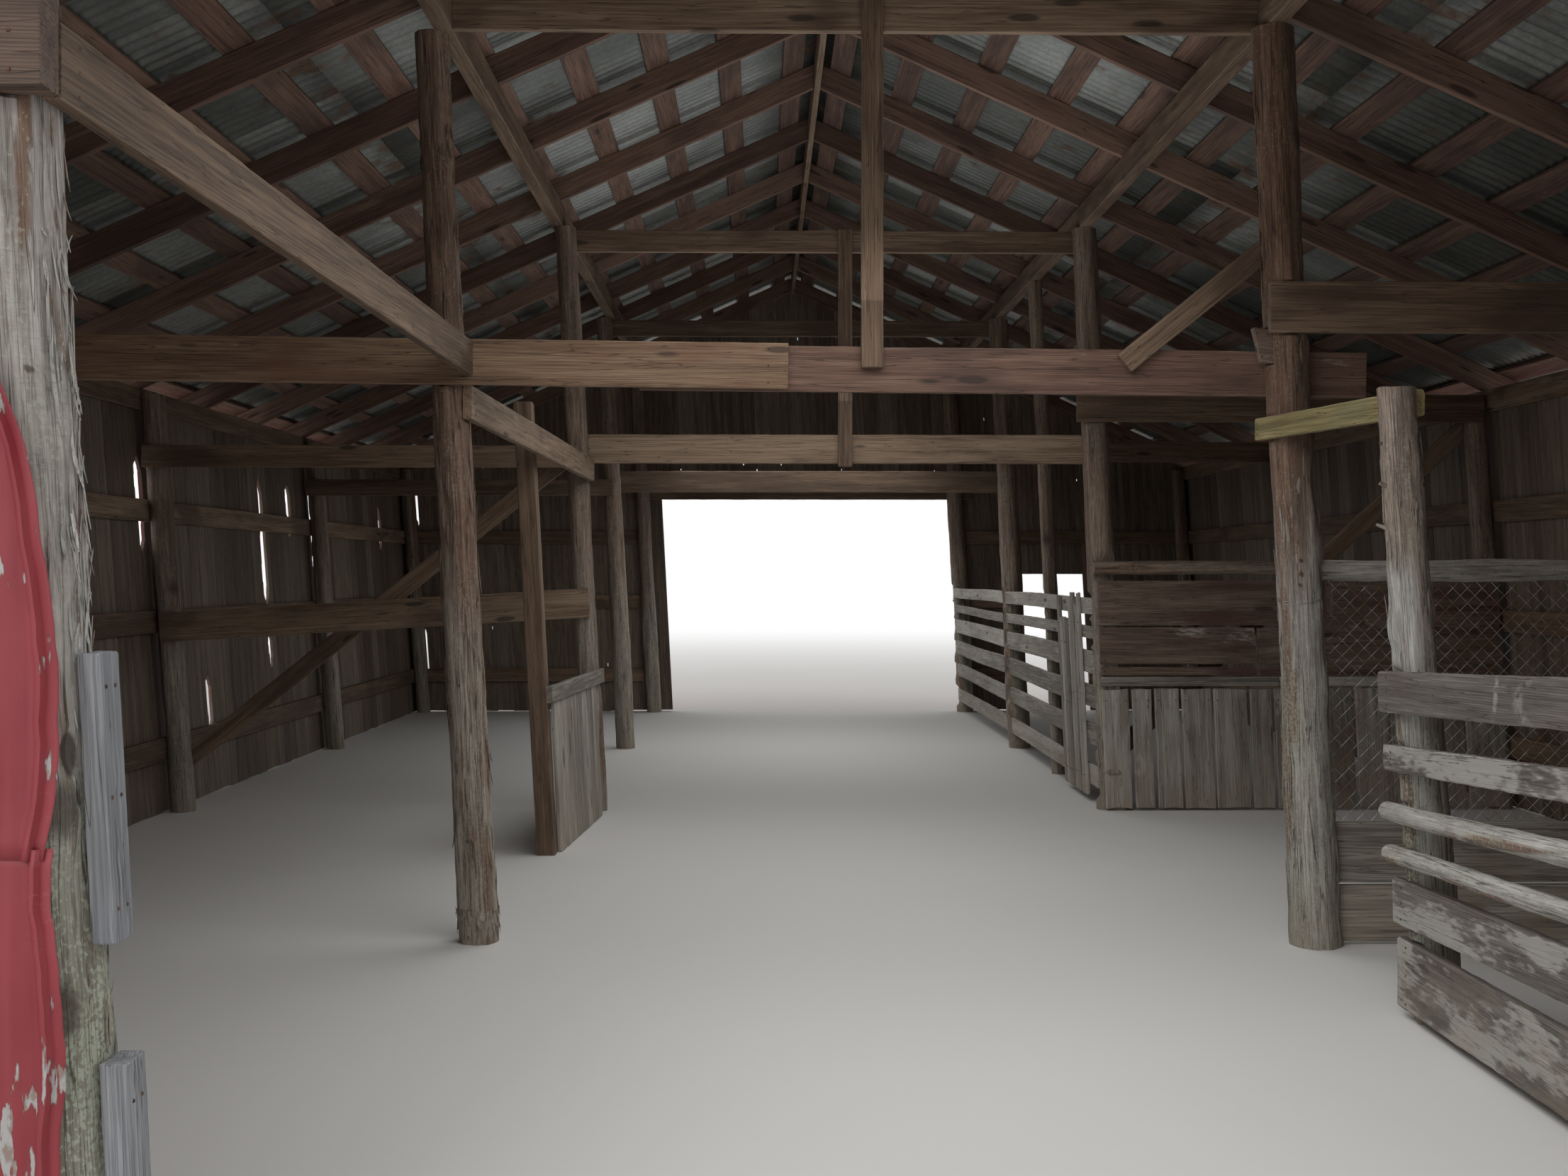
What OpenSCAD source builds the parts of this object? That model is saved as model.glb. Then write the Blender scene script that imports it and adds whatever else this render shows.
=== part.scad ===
/* [Plan] */
// Spacing of the bents along the barn, centre to centre
bay = 3600; // [3300:50:4200]
// Width of the centre aisle, pole centre to pole centre
aisle_w = 3400; // [3100:50:4000]
// Width of each side aisle, aisle pole centre to wall post centre
side_w = 2500; // [2200:50:3000]
// How far the old frame has racked to the left between foot and roof
rack = 190; // [0:10:240]

/* [Heights] */
// Underside of the rafters above the wall posts
eave_h = 2700; // [2600:20:3000]
// Pitch of the roof in degrees
roof_pitch = 24.2; // [21:0.1:28]
// How far the underside of the second bent's tie beam lies below the eave
tie_2_drop = 409; // [360:5:500]
// The same for the tie beams of the bents behind it
tie_3_drop = 493; // [440:5:550]
// How far the underside of the headers over the side bays of the front lies below the eave
side_header_drop = 355; // [300:5:450]
// How far the top of the front doorway lies above the eave
front_door_up = 250; // [0:10:400]
// Clear height of the back doorway
back_door_h = 2315; // [2150:5:2400]

/* [Logs] */
// Foot diameter of the left aisle poles
left_pole_d = 165; // [150:5:200]
// Foot diameter of the right aisle poles
right_pole_d = 190; // [160:5:210]
// Foot diameter of the pole at the left of the front doorway
front_pole_d = 210; // [180:5:230]
// How much thinner a pole is at its top
pole_taper = 35; // [0:5:40]
// Diameter of the wall posts
wall_post_d = 150; // [135:5:180]
// Distance from a pole's centre line to the flats cut for boards
pole_seat = 60; // [55:1:62]

/* [Timber] */
// Thickness of planks, rafters, girts and ties
plank_t = 38; // [32:1:44]
// Depth of the tie beams
tie_w = 186; // [160:2:200]
// Depth of plates, collars, girts and rafters
plate_w = 140; // [120:2:160]
// Depth of the side beam of the second bent
side_beam_2_w = 204; // [180:2:230]
// Width of the studs that hang between collar and tie
hanger_w = 90; // [70:5:110]
// Width of the long side braces
brace_w = 110; // [80:5:140]
// Thickness of wall, fence and sheathing boards
board_t = 25; // [18:1:30]

/* [Roof] */
// Rafters in each bay
rafters_per_bay = 3; // [2:1:4]
// Width of the sheathing boards under the roof metal
lath_w = 140; // [100:5:180]
// Spacing of the sheathing boards down the slope
lath_pitch = 425; // [350:5:500]
// Thickness of the roof metal over its corrugations
roof_t = 18; // [12:1:25]
// Overhang of the roof past the wall posts at the eaves
eave_overhang = 350; // [300:10:500]
// Overhang of the roof past the end walls
end_overhang = 190; // [120:10:300]
// Width of each wing of the ridge cap
cap_w = 170; // [120:5:250]

/* [Walls] */
// Thickness of the red wall metal over its ribs
metal_t = 14; // [10:1:20]
// Heights of the wall girts
girt_z = [330, 1130, 1830];
// How far the back wall boards stand into the doorway past the left pole's centre
back_jamb = 200; // [120:10:260]
// Left side of the low stock doorway in the back wall, from the barn's centre line
stock_door_x = 2330; // [2200:10:2500]
// Width of the stock doorway
stock_door_w = 760; // [600:10:1000]
// Height of the stock doorway
stock_door_h = 1500; // [1300:10:1700]

/* [Pens] */
// Top of the front pen's short log post, below the eave
pen_post_drop = 581; // [450:1:800]
// Foot diameter of the short log post
pen_post_d = 165; // [140:5:190]
// Distance of the short log post in front of the second bent
pen_post_y = 1230; // [1000:10:1600]
// Height of the log rail over the stall partition
stall_rail_z = 1540; // [1400:10:1650]
// Diameter of the log rails
log_rail_d = 84; // [70:2:100]
// Height of the log rail over the wire mesh
mesh_rail_z = 1516; // [1400:10:1600]
// Height of the slatted fence
slat_fence_h = 1354; // [1200:10:1450]
// Height of the low stall partition on the left
low_wall_h = 900; // [800:10:1000]

/* [Hidden] */
bays = 4;
gap = 0.3;
round_fn = 48;

roof_a = roof_pitch;
slope = tan(roof_pitch);
tie_2_z = eave_h - tie_2_drop;
tie_3_z = eave_h - tie_3_drop;
side_header_z = eave_h - side_header_drop;
front_door_h = eave_h + front_door_up;
half_w = aisle_w / 2 + side_w;
half_l = bays * bay / 2;
ridge_z = eave_h + half_w * slope;
rafter_v = plate_w / cos(roof_a);
plate_seat = 12;
plate_top = eave_h + side_w * slope + plate_seat;
pole_h = plate_top - plate_w;
wall_plate_top = eave_h - pole_seat * slope;
wall_post_h = eave_h - wall_post_d * slope;
pen_post_h = eave_h - pen_post_drop;
girt_out = pole_seat + plank_t;
skin_out = girt_out + board_t;
pole_lean = atan(rack / pole_h);
wall_lean = atan(rack / eave_h);
end_y = half_l + girt_out;
roof_end = end_y + board_t + end_overhang;

wood_grey = "#8a8171";
wood_brown = "#5d4a3a";
wood_dark = "#463a30";
old_red = "#a8434a";
zinc = "#9aa09f";

// Place of bent i along the barn, bent 1 at the front
function bent_y(i) = (i - 1) * bay - half_l;
// Sideways shift of a pole, and of a wall, at height z
function pole_shift(z) = rack * (1 - z / pole_h);
function wall_shift(z) = rack * (1 - min(z, eave_h) / eave_h);
// Centre line of an aisle pole at height z, side is -1 or 1
function pole_x(side, z) = side * aisle_w / 2 + pole_shift(z);
// The same for the pole of bent i, which may stand off the row
function bent_pole_x(side, i, z) = pole_x(side, z) + (side > 0 ? 0 : left_dx[i - 1]);
// Underside of the rafters over x
function rafter_z(x) = ridge_z - abs(x) * slope;
// Underside of the sheathing over x
function lath_z(x) = rafter_z(x) + rafter_v;

// A board is drawn with g = 0. With g = gap it is the housing cut for it in a log,
// which runs on through the log's face, towards -out or +out.
face_cut = 60;
function lower(g, out) = g > 0 && out < 0 ? g + face_cut : g;
function upper(g, out) = g > 0 && out > 0 ? g + face_cut : g;

// Board on edge across the barn, its back face at y
module cross_board(x0, x1, y, z, w, g = 0, out = -1, t = plank_t)
    translate([x0 - g, y - t - lower(g, out), z - g])
        cube([x1 - x0 + 2 * g, t + lower(g, out) + upper(g, out), w + 2 * g]);

// Board across the barn from one height to another, its back face at y
module cross_strut(a, b, y, w, g = 0, out = -1)
    translate([a[0], y - plank_t - lower(g, out), a[1]])
        rotate([0, -atan2(b[1] - a[1], b[0] - a[0]), 0])
            translate([-g, 0, -w / 2 - g])
                cube([norm(b - a) + 2 * g, plank_t + lower(g, out) + upper(g, out), w + 2 * g]);

// Turns its children from +Y to the line from a to b
module along(a, b)
    translate(a)
        rotate([atan2(b[2] - a[2], norm([b[0] - a[0], b[1] - a[1]])), 0,
                atan2(a[0] - b[0], b[1] - a[1])])
            children();

// Board on edge along the barn between two points of its centre line; its right side is +out
module long_strut(a, b, t, w, g = 0, out = -1)
    along(a, b)
        translate([-t / 2 - lower(g, out), -g, -w / 2 - g])
            cube([t + lower(g, out) + upper(g, out), norm(b - a) + 2 * g, w + 2 * g]);

// Round rail between two points of its centre line
module round_rail(a, b, d)
    along(a, b) rotate([-90, 0, 0]) cylinder(h = norm(b - a), d = d, $fn = round_fn);

// Log rail across the barn, and the square housing its ends need in a post
module cross_log(x0, x1, y, z)
    translate([x0, y, z]) rotate([0, 90, 0]) cylinder(h = x1 - x0, d = log_rail_d, $fn = round_fn);
module cross_log_seat(x0, x1, y, z, g)
    translate([x0 - g, y - log_rail_d / 2 - g, z - log_rail_d / 2 - g])
        cube([x1 - x0 + 2 * g, log_rail_d + 2 * g, log_rail_d + 2 * g]);

// Slab whose outline lies in the barn's cross section, from y0 to y1
module section_slab(points, y0, y1)
    translate([0, y1, 0]) rotate([90, 0, 0]) linear_extrude(y1 - y0) polygon(points);

// Board along a side wall, leaning with it, from off to off + t outside the posts' line
module wall_strip(side, off, t, z0, z1, y0, y1, g = 0) {
    a = side * (half_w + off - g);
    b = side * (half_w + off + t + g);
    section_slab([[a + wall_shift(z0 - g), z0 - g], [b + wall_shift(z0 - g), z0 - g],
                  [b + wall_shift(z1 + g), z1 + g], [a + wall_shift(z1 + g), z1 + g]],
                 y0 - g, y1 + g);
}

// Leaning log, cut level at the floor and at its top
module log_post(x, y, h, d0, d1, lean) {
    over = d0;
    intersection() {
        translate([x, y, 0]) rotate([0, -lean, 0]) translate([0, 0, -over])
            cylinder(h = h / cos(lean) + 2 * over, d1 = d0, d2 = d1, $fn = round_fn);
        translate([x - h, y - d0, 0]) cube([2 * h, 2 * d0, h]);
    }
}

// Places of the poles that stand off the regular grid
left_dx = [-100, 0, 110, 0, 0];
left_plate_dx = 60;
front_pole_dx = left_dx[0];
left_3_d = 140;
left_3_taper = 12;
right_2_dy = -2 * pole_seat;
mid_post_d = 105;
mid_post_y = bent_y(3) + bay / 2;

// Tie beams
tie_lap = 600;
tie_splice_x = -248;
tie_2_end = 2110;
tie_2_sag = [0, 45, 72];
module left_tie_2(g = 0) {
    z = tie_2_z + tie_w / 2;
    cross_strut([-half_w - pole_seat / 2, z - tie_2_sag[0]], [tie_splice_x, z - tie_2_sag[1]],
                bent_y(2) - pole_seat, tie_w, g);
}
module right_tie_2(g = 0) {
    z = tie_2_z + tie_w / 2;
    cross_strut([tie_splice_x - tie_lap, z - tie_2_sag[1]], [tie_2_end, z - tie_2_sag[2]],
                bent_y(2) - pole_seat + plank_t, tie_w, g, 1);
}
behind = pole_seat + plank_t;
module rear_tie(i, g = 0)
    cross_board(bent_pole_x(-1, i, tie_3_z) - 5, pole_x(1, tie_3_z) + pole_seat, bent_y(i) + behind,
                tie_3_z, tie_w, g, 1);
module ties(g = 0) {
    left_tie_2(g);
    right_tie_2(g);
    for (i = [3, 4]) rear_tie(i, g);
}
module tie_beams() color(wood_brown) ties();

// Collars: the second bent's fits between the plates, the others lie behind the poles below them
module collars(g = 0) {
    inner = aisle_w / 2 - plank_t - gap;
    cross_board(left_plate_dx - inner, inner, bent_y(2) - pole_seat + plank_t, pole_h, plate_w, g);
    for (i = [3, 4])
        cross_board(bent_pole_x(-1, i, pole_h) - pole_seat, aisle_w / 2 + pole_seat,
                    bent_y(i) + behind, pole_h - plate_w - gap, plate_w, g, 1);
}
module collar_beams() color(wood_brown) collars();

// Studs that hang from the collar over the face of the tie
hanger_2_x = 92;
hanger_2_up = 44;
hanger_3_x = 184;
hanger_3_drop = 20;
module hangers() color(wood_brown) {
    z2 = tie_2_z + hanger_2_up;
    translate([hanger_2_x - hanger_w / 2, bent_y(2) - pole_seat - plank_t, z2])
        cube([hanger_w, plank_t, pole_h + plate_w - z2]);
    z3 = tie_3_z - hanger_3_drop;
    translate([hanger_3_x - hanger_w / 2, bent_y(3) + pole_seat - plank_t, z3])
        cube([hanger_w, plank_t, pole_h - gap - z3]);
}

// Brace from the tie of the second bent up to its right pole
brace_reach = 600;
brace_rise = 485;
knee_w = 90;
module knee(g = 0) {
    top_z = tie_2_z + tie_w / 3 + brace_rise;
    top = [pole_x(1, top_z) - pole_seat / 2, top_z];
    cross_strut([top[0] - brace_reach, top_z - brace_rise], top, bent_y(2) - pole_seat, knee_w, g, 0);
}
module knee_brace() color(wood_brown) knee();

// Short block nailed to the second bent's right pole over the tie, its free end cut aslant
block_w = 140;
block_out = [76, 42];
module block(g = 0) {
    z = tie_2_z + tie_w / 2 - 34;
    x = pole_x(1, z) - right_pole_d / 2 + 14;
    y = bent_y(2) + right_2_dy;
    section_slab([[x - block_out[1] - g, z - g], [x + 40 + g, z - 12 - g],
                  [x + 40 + g, z + block_w - 12 + g], [x - block_out[0] - g, z + block_w + g]],
                 y - plank_t - g, y + g);
}

// Long braces of the side bays of the third bent, on the back of its posts
module side_brace(side, g = 0) {
    foot_z = 300;
    foot = side < 0 ? [-half_w + wall_shift(foot_z), foot_z] : [pole_x(1, foot_z), foot_z];
    top_z = side < 0 ? tie_3_z + 50 : eave_h - 2 * brace_w;
    top = side < 0 ? [bent_pole_x(-1, 3, top_z) - pole_seat, top_z] : [half_w + wall_shift(top_z), top_z];
    cross_strut(foot, top, bent_y(3) + pole_seat + plank_t, brace_w, g, 1);
}
module side_braces() color(wood_brown) for (side = [-1, 1]) side_brace(side);

// Beams across the side aisles
side_beam_3_w = 175;
left_beam_z = tie_3_z - 37;
right_beam_3_z = eave_h - 238;
module left_beams(g = 0)
    for (i = [3, 4])
        cross_board(-half_w - pole_seat / 2, bent_pole_x(-1, i, tie_3_z), bent_y(i) - pole_seat,
                    left_beam_z, plate_w, g);
right_beam_2_past = 95;
module right_beam_2(g = 0)
    cross_board(pole_x(1, tie_2_z + tie_w) - right_beam_2_past, half_w + pole_seat / 2,
                bent_y(2) + right_2_dy - pole_seat, tie_2_z + tie_w - 17, side_beam_2_w, g);
module right_beam_3(i, g = 0)
    cross_board(pole_x(1, right_beam_3_z) - 2 * pole_seat, half_w + pole_seat / 2,
                bent_y(i) - pole_seat, right_beam_3_z, side_beam_3_w, g);
module side_beams() color(wood_brown) {
    left_beams();
    right_beam_2();
    for (i = [3, 4]) right_beam_3(i);
}

// Rail across the left bay of the third bent, a little out of level
rail_left_z = 1165;
rail_right_z = 1320;
module side_rail(g = 0)
    cross_strut([-half_w + wall_shift(rail_left_z) - pole_seat / 2, rail_left_z],
                [bent_pole_x(-1, 3, rail_right_z) + pole_seat / 2, rail_right_z],
                bent_y(3) - pole_seat, tie_w, g);
module left_side_rail() color(wood_brown) side_rail();

// Headers: a doubled one over each side bay of the front, one over each doorway
front_y = -half_l - pole_seat;
header_2_t = 2 * plank_t;
header_end = 21;
module side_headers(g = 0)
    for (side = [-1, 1]) {
        inner = pole_x(side, side_header_z) + (side < 0 ? front_pole_dx + front_pole_d / 2 + header_end
                                                        : -right_pole_d / 2);
        outer = side * (half_w + skin_out) + wall_shift(side_header_z);
        translate([min(inner, outer) - g, front_y - header_2_t - g, side_header_z - g])
            cube([abs(outer - inner) + 2 * g, header_2_t + 2 * g, tie_w + 2 * g]);
    }
module door_header(g = 0)
    cross_board(-aisle_w / 2 - front_pole_d, aisle_w / 2 + front_pole_d, front_y,
                front_door_h, tie_w, g);
module front_headers() color(wood_grey) {
    side_headers();
    door_header();
}
back_header_w = 286;
back_header_reach = 180;
module rear_header(g = 0)
    cross_board(pole_x(-1, back_door_h) - back_header_reach,
                pole_x(1, back_door_h) + back_header_reach,
                half_l + girt_out, back_door_h, back_header_w, g, 1);
module back_header() color(wood_brown) rear_header();

// Girts along the aisle side of the left poles
girt_front_drop = 288;
girt_2_drop = 340;
girt_front_z = eave_h - girt_front_drop;
girt_2_z = eave_h - girt_2_drop;
girt_1_inset = 8;
module aisle_girt_1(g = 0) {
    x1 = pole_x(-1, girt_front_z) + front_pole_dx + front_pole_d / 2 - pole_taper / 3;
    x2 = pole_x(-1, girt_2_z) + pole_seat;
    long_strut([x1 + plank_t / 2, front_y + girt_1_inset, girt_front_z],
               [x2 + plank_t / 2 + 20, bent_y(2) - girt_out - 2 * gap, girt_2_z + 8], plank_t, plate_w, g, 1);
}
girt_past = 48;
module aisle_girt_2(g = 0) {
    z2 = tie_2_z - plate_w / 2 - 25;
    z3 = tie_3_z - plate_w / 2 + 25;
    x2 = pole_x(-1, z2) + pole_seat + plank_t / 2;
    x3 = bent_pole_x(-1, 3, z3) + left_3_d / 2 - 12 + plank_t / 2;
    long_strut([x2, bent_y(2) - pole_seat, z2], [x3, bent_y(3) + girt_past, z3],
               plank_t, plate_w, g, 1);
}
module aisle_girts() color(wood_brown) {
    aisle_girt_1();
    aisle_girt_2();
}

// Square stud between the second and third bents, leaning with the poles
stud_w = 100;
stud_drop = 283;
stud_h = eave_h - stud_drop;
stud_y = bent_y(2) + bay * 0.56;
module aisle_stud() color(wood_brown) {
    inner = pole_x(-1, 0) + pole_seat - 1;
    top = pole_x(-1, stud_h) + pole_seat - 1;
    difference() {
        section_slab([[inner - stud_w, 0], [inner, 0], [top, stud_h], [top - stud_w, stud_h]],
                     stud_y - stud_w / 2, stud_y + stud_w / 2);
        aisle_girt_2(gap);
        low_rail(gap);
    }
}

// Aisle poles, with flats and notches where boards bear
module left_aisle_poles() color(wood_grey)
    difference() {
        for (i = [1 : bays + 1]) {
            d = i == 1 ? front_pole_d : i == 3 ? left_3_d : left_pole_d;
            taper = i == 3 ? left_3_taper : pole_taper;
            log_post(bent_pole_x(-1, i, 0), bent_y(i), pole_h - gap, d, d - taper, pole_lean);
        }
        ties(gap);
        collars(gap);
        left_beams(gap);
        side_brace(-1, gap);
        side_rail(gap);
        side_headers(gap);
        door_header(gap);
        rear_header(gap);
        aisle_girt_1(gap);
        aisle_girt_2(gap);
        cleats(gap);
        low_rail(gap);
        girts_at_ends(gap);
    }
module right_aisle_poles() color(wood_grey)
    difference() {
        union() {
            for (i = [1 : bays + 1])
                log_post(pole_x(1, 0), bent_y(i) + (i == 2 ? right_2_dy : 0), pole_h - gap,
                         right_pole_d, right_pole_d - pole_taper, pole_lean);
            log_post(pole_x(1, 0), mid_post_y, pole_h - gap, mid_post_d, mid_post_d, pole_lean);
        }
        ties(gap);
        collars(gap);
        knee(gap);
        block(gap);
        side_brace(1, gap);
        right_beam_2(gap);
        for (i = [3, 4]) right_beam_3(i, gap);
        side_headers(gap);
        door_header(gap);
        rear_header(gap);
        stall_boards(gap);
        stall_log_seat(gap);
        mesh_log_seat(gap);
        rail_block(gap);
        base_boards(gap);
        pen_rails(gap);
        pen_tie_board(gap);
        slats(gap);
        girts_at_ends(gap);
    }

// Wall posts
module posts_of_wall(side)
    difference() {
        for (i = [1 : bays + 1])
            log_post(side * half_w + wall_shift(0), bent_y(i) + (side > 0 && i == 2 ? right_2_dy : 0),
                     wall_post_h, wall_post_d, wall_post_d, wall_lean);
        side_girts(side, gap);
        wall_plate(side, gap);
        girts_at_ends(gap);
        side_headers(gap);
        left_tie_2(gap);
        left_beams(gap);
        side_brace(side, gap);
        side_rail(gap);
        right_beam_2(gap);
        for (i = [3, 4]) right_beam_3(i, gap);
        stall_boards(gap);
        stall_log_seat(gap);
        mesh_log_seat(gap);
        base_boards(gap);
        mesh_sheet(gap);
    }
module wall_posts() color(wood_grey) for (side = [-1, 1]) posts_of_wall(side);

// Plates on the aisle poles and on the wall posts
function plate_x(side) = side * aisle_w / 2 + (side < 0 ? left_plate_dx : 0);
module purlin_plate(side)
    translate([plate_x(side) - plank_t, -end_y, pole_h])
        cube([2 * plank_t, 2 * end_y, plate_w]);
module purlin_plates() color(wood_brown) for (side = [-1, 1]) purlin_plate(side);
module wall_plate(side, g = 0)
    wall_strip(side, pole_seat, plank_t, wall_plate_top - plate_w, wall_plate_top,
               -end_y, end_y, g);
module wall_plates() color(wood_brown) for (side = [-1, 1]) wall_plate(side);

// Girts along the side walls
module side_girts(side, g = 0)
    for (z = girt_z)
        wall_strip(side, pole_seat, plank_t, z, z + plate_w, -end_y + plank_t + gap,
                   end_y - plank_t - gap, g);
module wall_girts() color(wood_brown) for (side = [-1, 1]) side_girts(side);

// Girts of one end wall bay, cut short beside the stock doorway
module end_bay_girts(side, y, g = 0)
    for (z = girt_z) {
        outer = side * (half_w + girt_out) + wall_shift(z);
        inner = y > 0 ? pole_x(side, z) : bent_pole_x(side, 1, z);
        stops_at_door = side > 0 && y > 0 && z < stock_door_h;
        out = y > 0 ? 1 : -1;
        x0 = min(inner, outer);
        x1 = max(inner, outer);
        if (stops_at_door) {
            cross_board(x0, stock_door_x + wall_shift(z) - gap, y, z, plate_w, g, out);
            cross_board(stock_door_x + stock_door_w + wall_shift(z) + gap, x1, y, z, plate_w, g, out);
        } else
            cross_board(x0, x1, y, z, plate_w, g, out);
    }
module girts_at_ends(g = 0)
    for (side = [-1, 1]) {
        end_bay_girts(side, front_y, g);
        end_bay_girts(side, end_y, g);
    }
module end_girts() color(wood_brown) girts_at_ends();

// Short boards nailed to the aisle side of the front pole: [bottom, top, thickness]
cleat_rows = [[833, 1361, 42], [0, 623, 50]];
cleat_half_w = 45;
module cleats(g = 0) {
    seat = front_pole_dx + front_pole_d / 2 - 12;
    for (c = cleat_rows) {
        a = pole_x(-1, c[0]) + seat;
        b = pole_x(-1, c[1]) + seat;
        section_slab([[a - g, max(c[0] - g, -g)], [a + c[2] + g, max(c[0] - g, -g)],
                      [b + c[2] + g, c[1] + g], [b - g, c[1] + g]],
                     -half_l - cleat_half_w - g, -half_l + cleat_half_w + g);
    }
}
module pole_cleats() color(wood_grey) {
    cleats();
    block();
    rail_block();
}

// Ridge board and rafters
ridge_drop = 40;
module ridge_board() color(wood_brown)
    translate([-plank_t / 2, -end_y, ridge_z - ridge_drop])
        cube([plank_t, 2 * end_y, ridge_drop + rafter_v - plank_t * slope]);
module rafter(side, y) {
    x0 = plank_t / 2 + gap;
    x1 = half_w + eave_overhang;
    section_slab([[side * x0, rafter_z(x0)], [side * x1, rafter_z(x1)],
                  [side * x1, lath_z(x1)], [side * x0, lath_z(x0)]],
                 y - plank_t / 2, y + plank_t / 2);
}
module rafters(side)
    difference() {
        for (k = [0 : bays * rafters_per_bay]) {
            last = bays * rafters_per_bay;
            y = k * bay / rafters_per_bay - half_l;
            rafter(side, k == 0 ? -end_y + plank_t / 2 : k == last ? end_y - plank_t / 2 : y);
        }
        translate([plate_x(side) - plank_t - gap, -end_y - 1, pole_h])
            cube([2 * plank_t + 2 * gap, 2 * end_y + 2, plate_w + gap]);
        wall_strip(side, pole_seat, plank_t, wall_plate_top - plate_w, wall_plate_top,
                   -end_y - 1, end_y + 1, gap);
    }
module left_rafters() color(wood_brown) rafters(-1);
module right_rafters() color(wood_brown) rafters(1);

// Turns its children onto a roof slope: x down the slope, z outwards, zero at the ridge
module on_slope(side)
    mirror([side < 0 ? 1 : 0, 0, 0]) translate([0, 0, ridge_z]) rotate([0, roof_a, 0]) children();

slope_len = (half_w + eave_overhang) / cos(roof_a);
lath_first = 30;
module laths(side)
    on_slope(side)
        for (x = [lath_first : lath_pitch : slope_len - lath_w])
            translate([x, -roof_end + 10, plate_w])
                cube([lath_w, 2 * roof_end - 20, board_t]);
module left_laths() color(wood_brown) laths(-1);
module right_laths() color(wood_brown) laths(1);

// Roof metal and ridge cap
sheet_z = plate_w + board_t;
module roof_sheet(side)
    on_slope(side) {
        top = (gap - sheet_z * sin(roof_a)) / cos(roof_a);
        translate([top, -roof_end, sheet_z]) cube([slope_len + 30 - top, 2 * roof_end, roof_t]);
    }
module left_roof() color(zinc) roof_sheet(-1);
module right_roof() color(zinc) roof_sheet(1);
cap_t = 4;
module ridge_cap() color(zinc) {
    z = ridge_z + (sheet_z + roof_t) / cos(roof_a) + gap;
    for (side = [-1, 1])
        section_slab([[side * gap, z], [side * cap_w, z - cap_w * slope],
                      [side * cap_w, z - cap_w * slope + cap_t], [side * gap, z + cap_t]],
                     -roof_end, roof_end);
}

// Side walls of upright boards
module side_wall(side)
    wall_strip(side, girt_out, board_t, 0, rafter_z(half_w + skin_out) - 3,
               -end_y, end_y);
module left_wall() color(old_red) side_wall(-1);
module right_wall() color(old_red) side_wall(1);

// Red metal of the front, with the torn edge of the left bay's sheet
torn_edge = [[-1640, 0], [-1640, 1430], [-1752, 1880]];
corner = half_w + skin_out;
module front_slab(points) section_slab(points, -end_y - metal_t, -end_y);
module front_left_wall() color(old_red)
    front_slab([[-corner + wall_shift(0), 0], torn_edge[0], torn_edge[1], torn_edge[2],
                [torn_edge[2][0], side_header_z - gap],
                [-corner + wall_shift(side_header_z), side_header_z - gap]]);
module front_right_wall() color(old_red)
    front_slab([[pole_x(1, 0), 0], [corner + wall_shift(0), 0],
                [corner + wall_shift(side_header_z), side_header_z - gap],
                [pole_x(1, side_header_z), side_header_z - gap]]);
module front_gable() color(old_red) {
    z0 = side_header_z + tie_w + gap;
    z1 = front_door_h;
    x = aisle_w / 2 + pole_seat;
    run = (lath_z(0) - 1 - z1) / slope;
    for (side = [-1, 1])
        front_slab([[side * corner + wall_shift(z0), z0], [side * x, z0], [side * x, z1 - gap],
                    [side * run, z1 - gap], [side * corner, lath_z(corner) - 1], [side * corner, eave_h]]);
    front_slab([[-run + gap, z1], [run - gap, z1], [0, lath_z(0) - 1]]);
}

// Back wall of upright boards, open at the doorway and the stock doorway
module back_slab(points) section_slab(points, end_y, end_y + board_t);
function back_left_x(z) = pole_x(-1, z) + back_jamb;
module back_left_wall() color(old_red)
    back_slab([[-corner + wall_shift(0), 0], [back_left_x(0), 0],
               [back_left_x(back_door_h), back_door_h],
               [back_left_x(back_door_h), lath_z(back_left_x(back_door_h)) - 1],
               [-corner, lath_z(corner) - 1], [-corner, eave_h]]);
module back_right_wall() color(old_red) {
    door_l = stock_door_x;
    door_r = stock_door_x + stock_door_w;
    h = stock_door_h;
    back_slab([[pole_x(1, 0), 0], [door_l + wall_shift(0), 0], [door_l + wall_shift(h), h - gap],
               [pole_x(1, h), h - gap]]);
    back_slab([[door_r + wall_shift(0), 0], [corner + wall_shift(0), 0],
               [corner + wall_shift(h), h - gap], [door_r + wall_shift(h), h - gap]]);
    back_slab([[pole_x(1, h), h], [corner + wall_shift(h), h], [corner, eave_h],
               [corner, lath_z(corner) - 1], [pole_x(1, back_door_h), lath_z(pole_x(1, back_door_h)) - 1],
               [pole_x(1, back_door_h), back_door_h]]);
}
module back_gable() color(old_red) {
    l = back_left_x(back_door_h) + gap;
    r = pole_x(1, back_door_h) - gap;
    back_slab([[l, back_door_h], [r, back_door_h], [r, lath_z(r) - 1], [0, lath_z(0) - 1],
               [l, lath_z(l) - 1]]);
}

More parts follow.
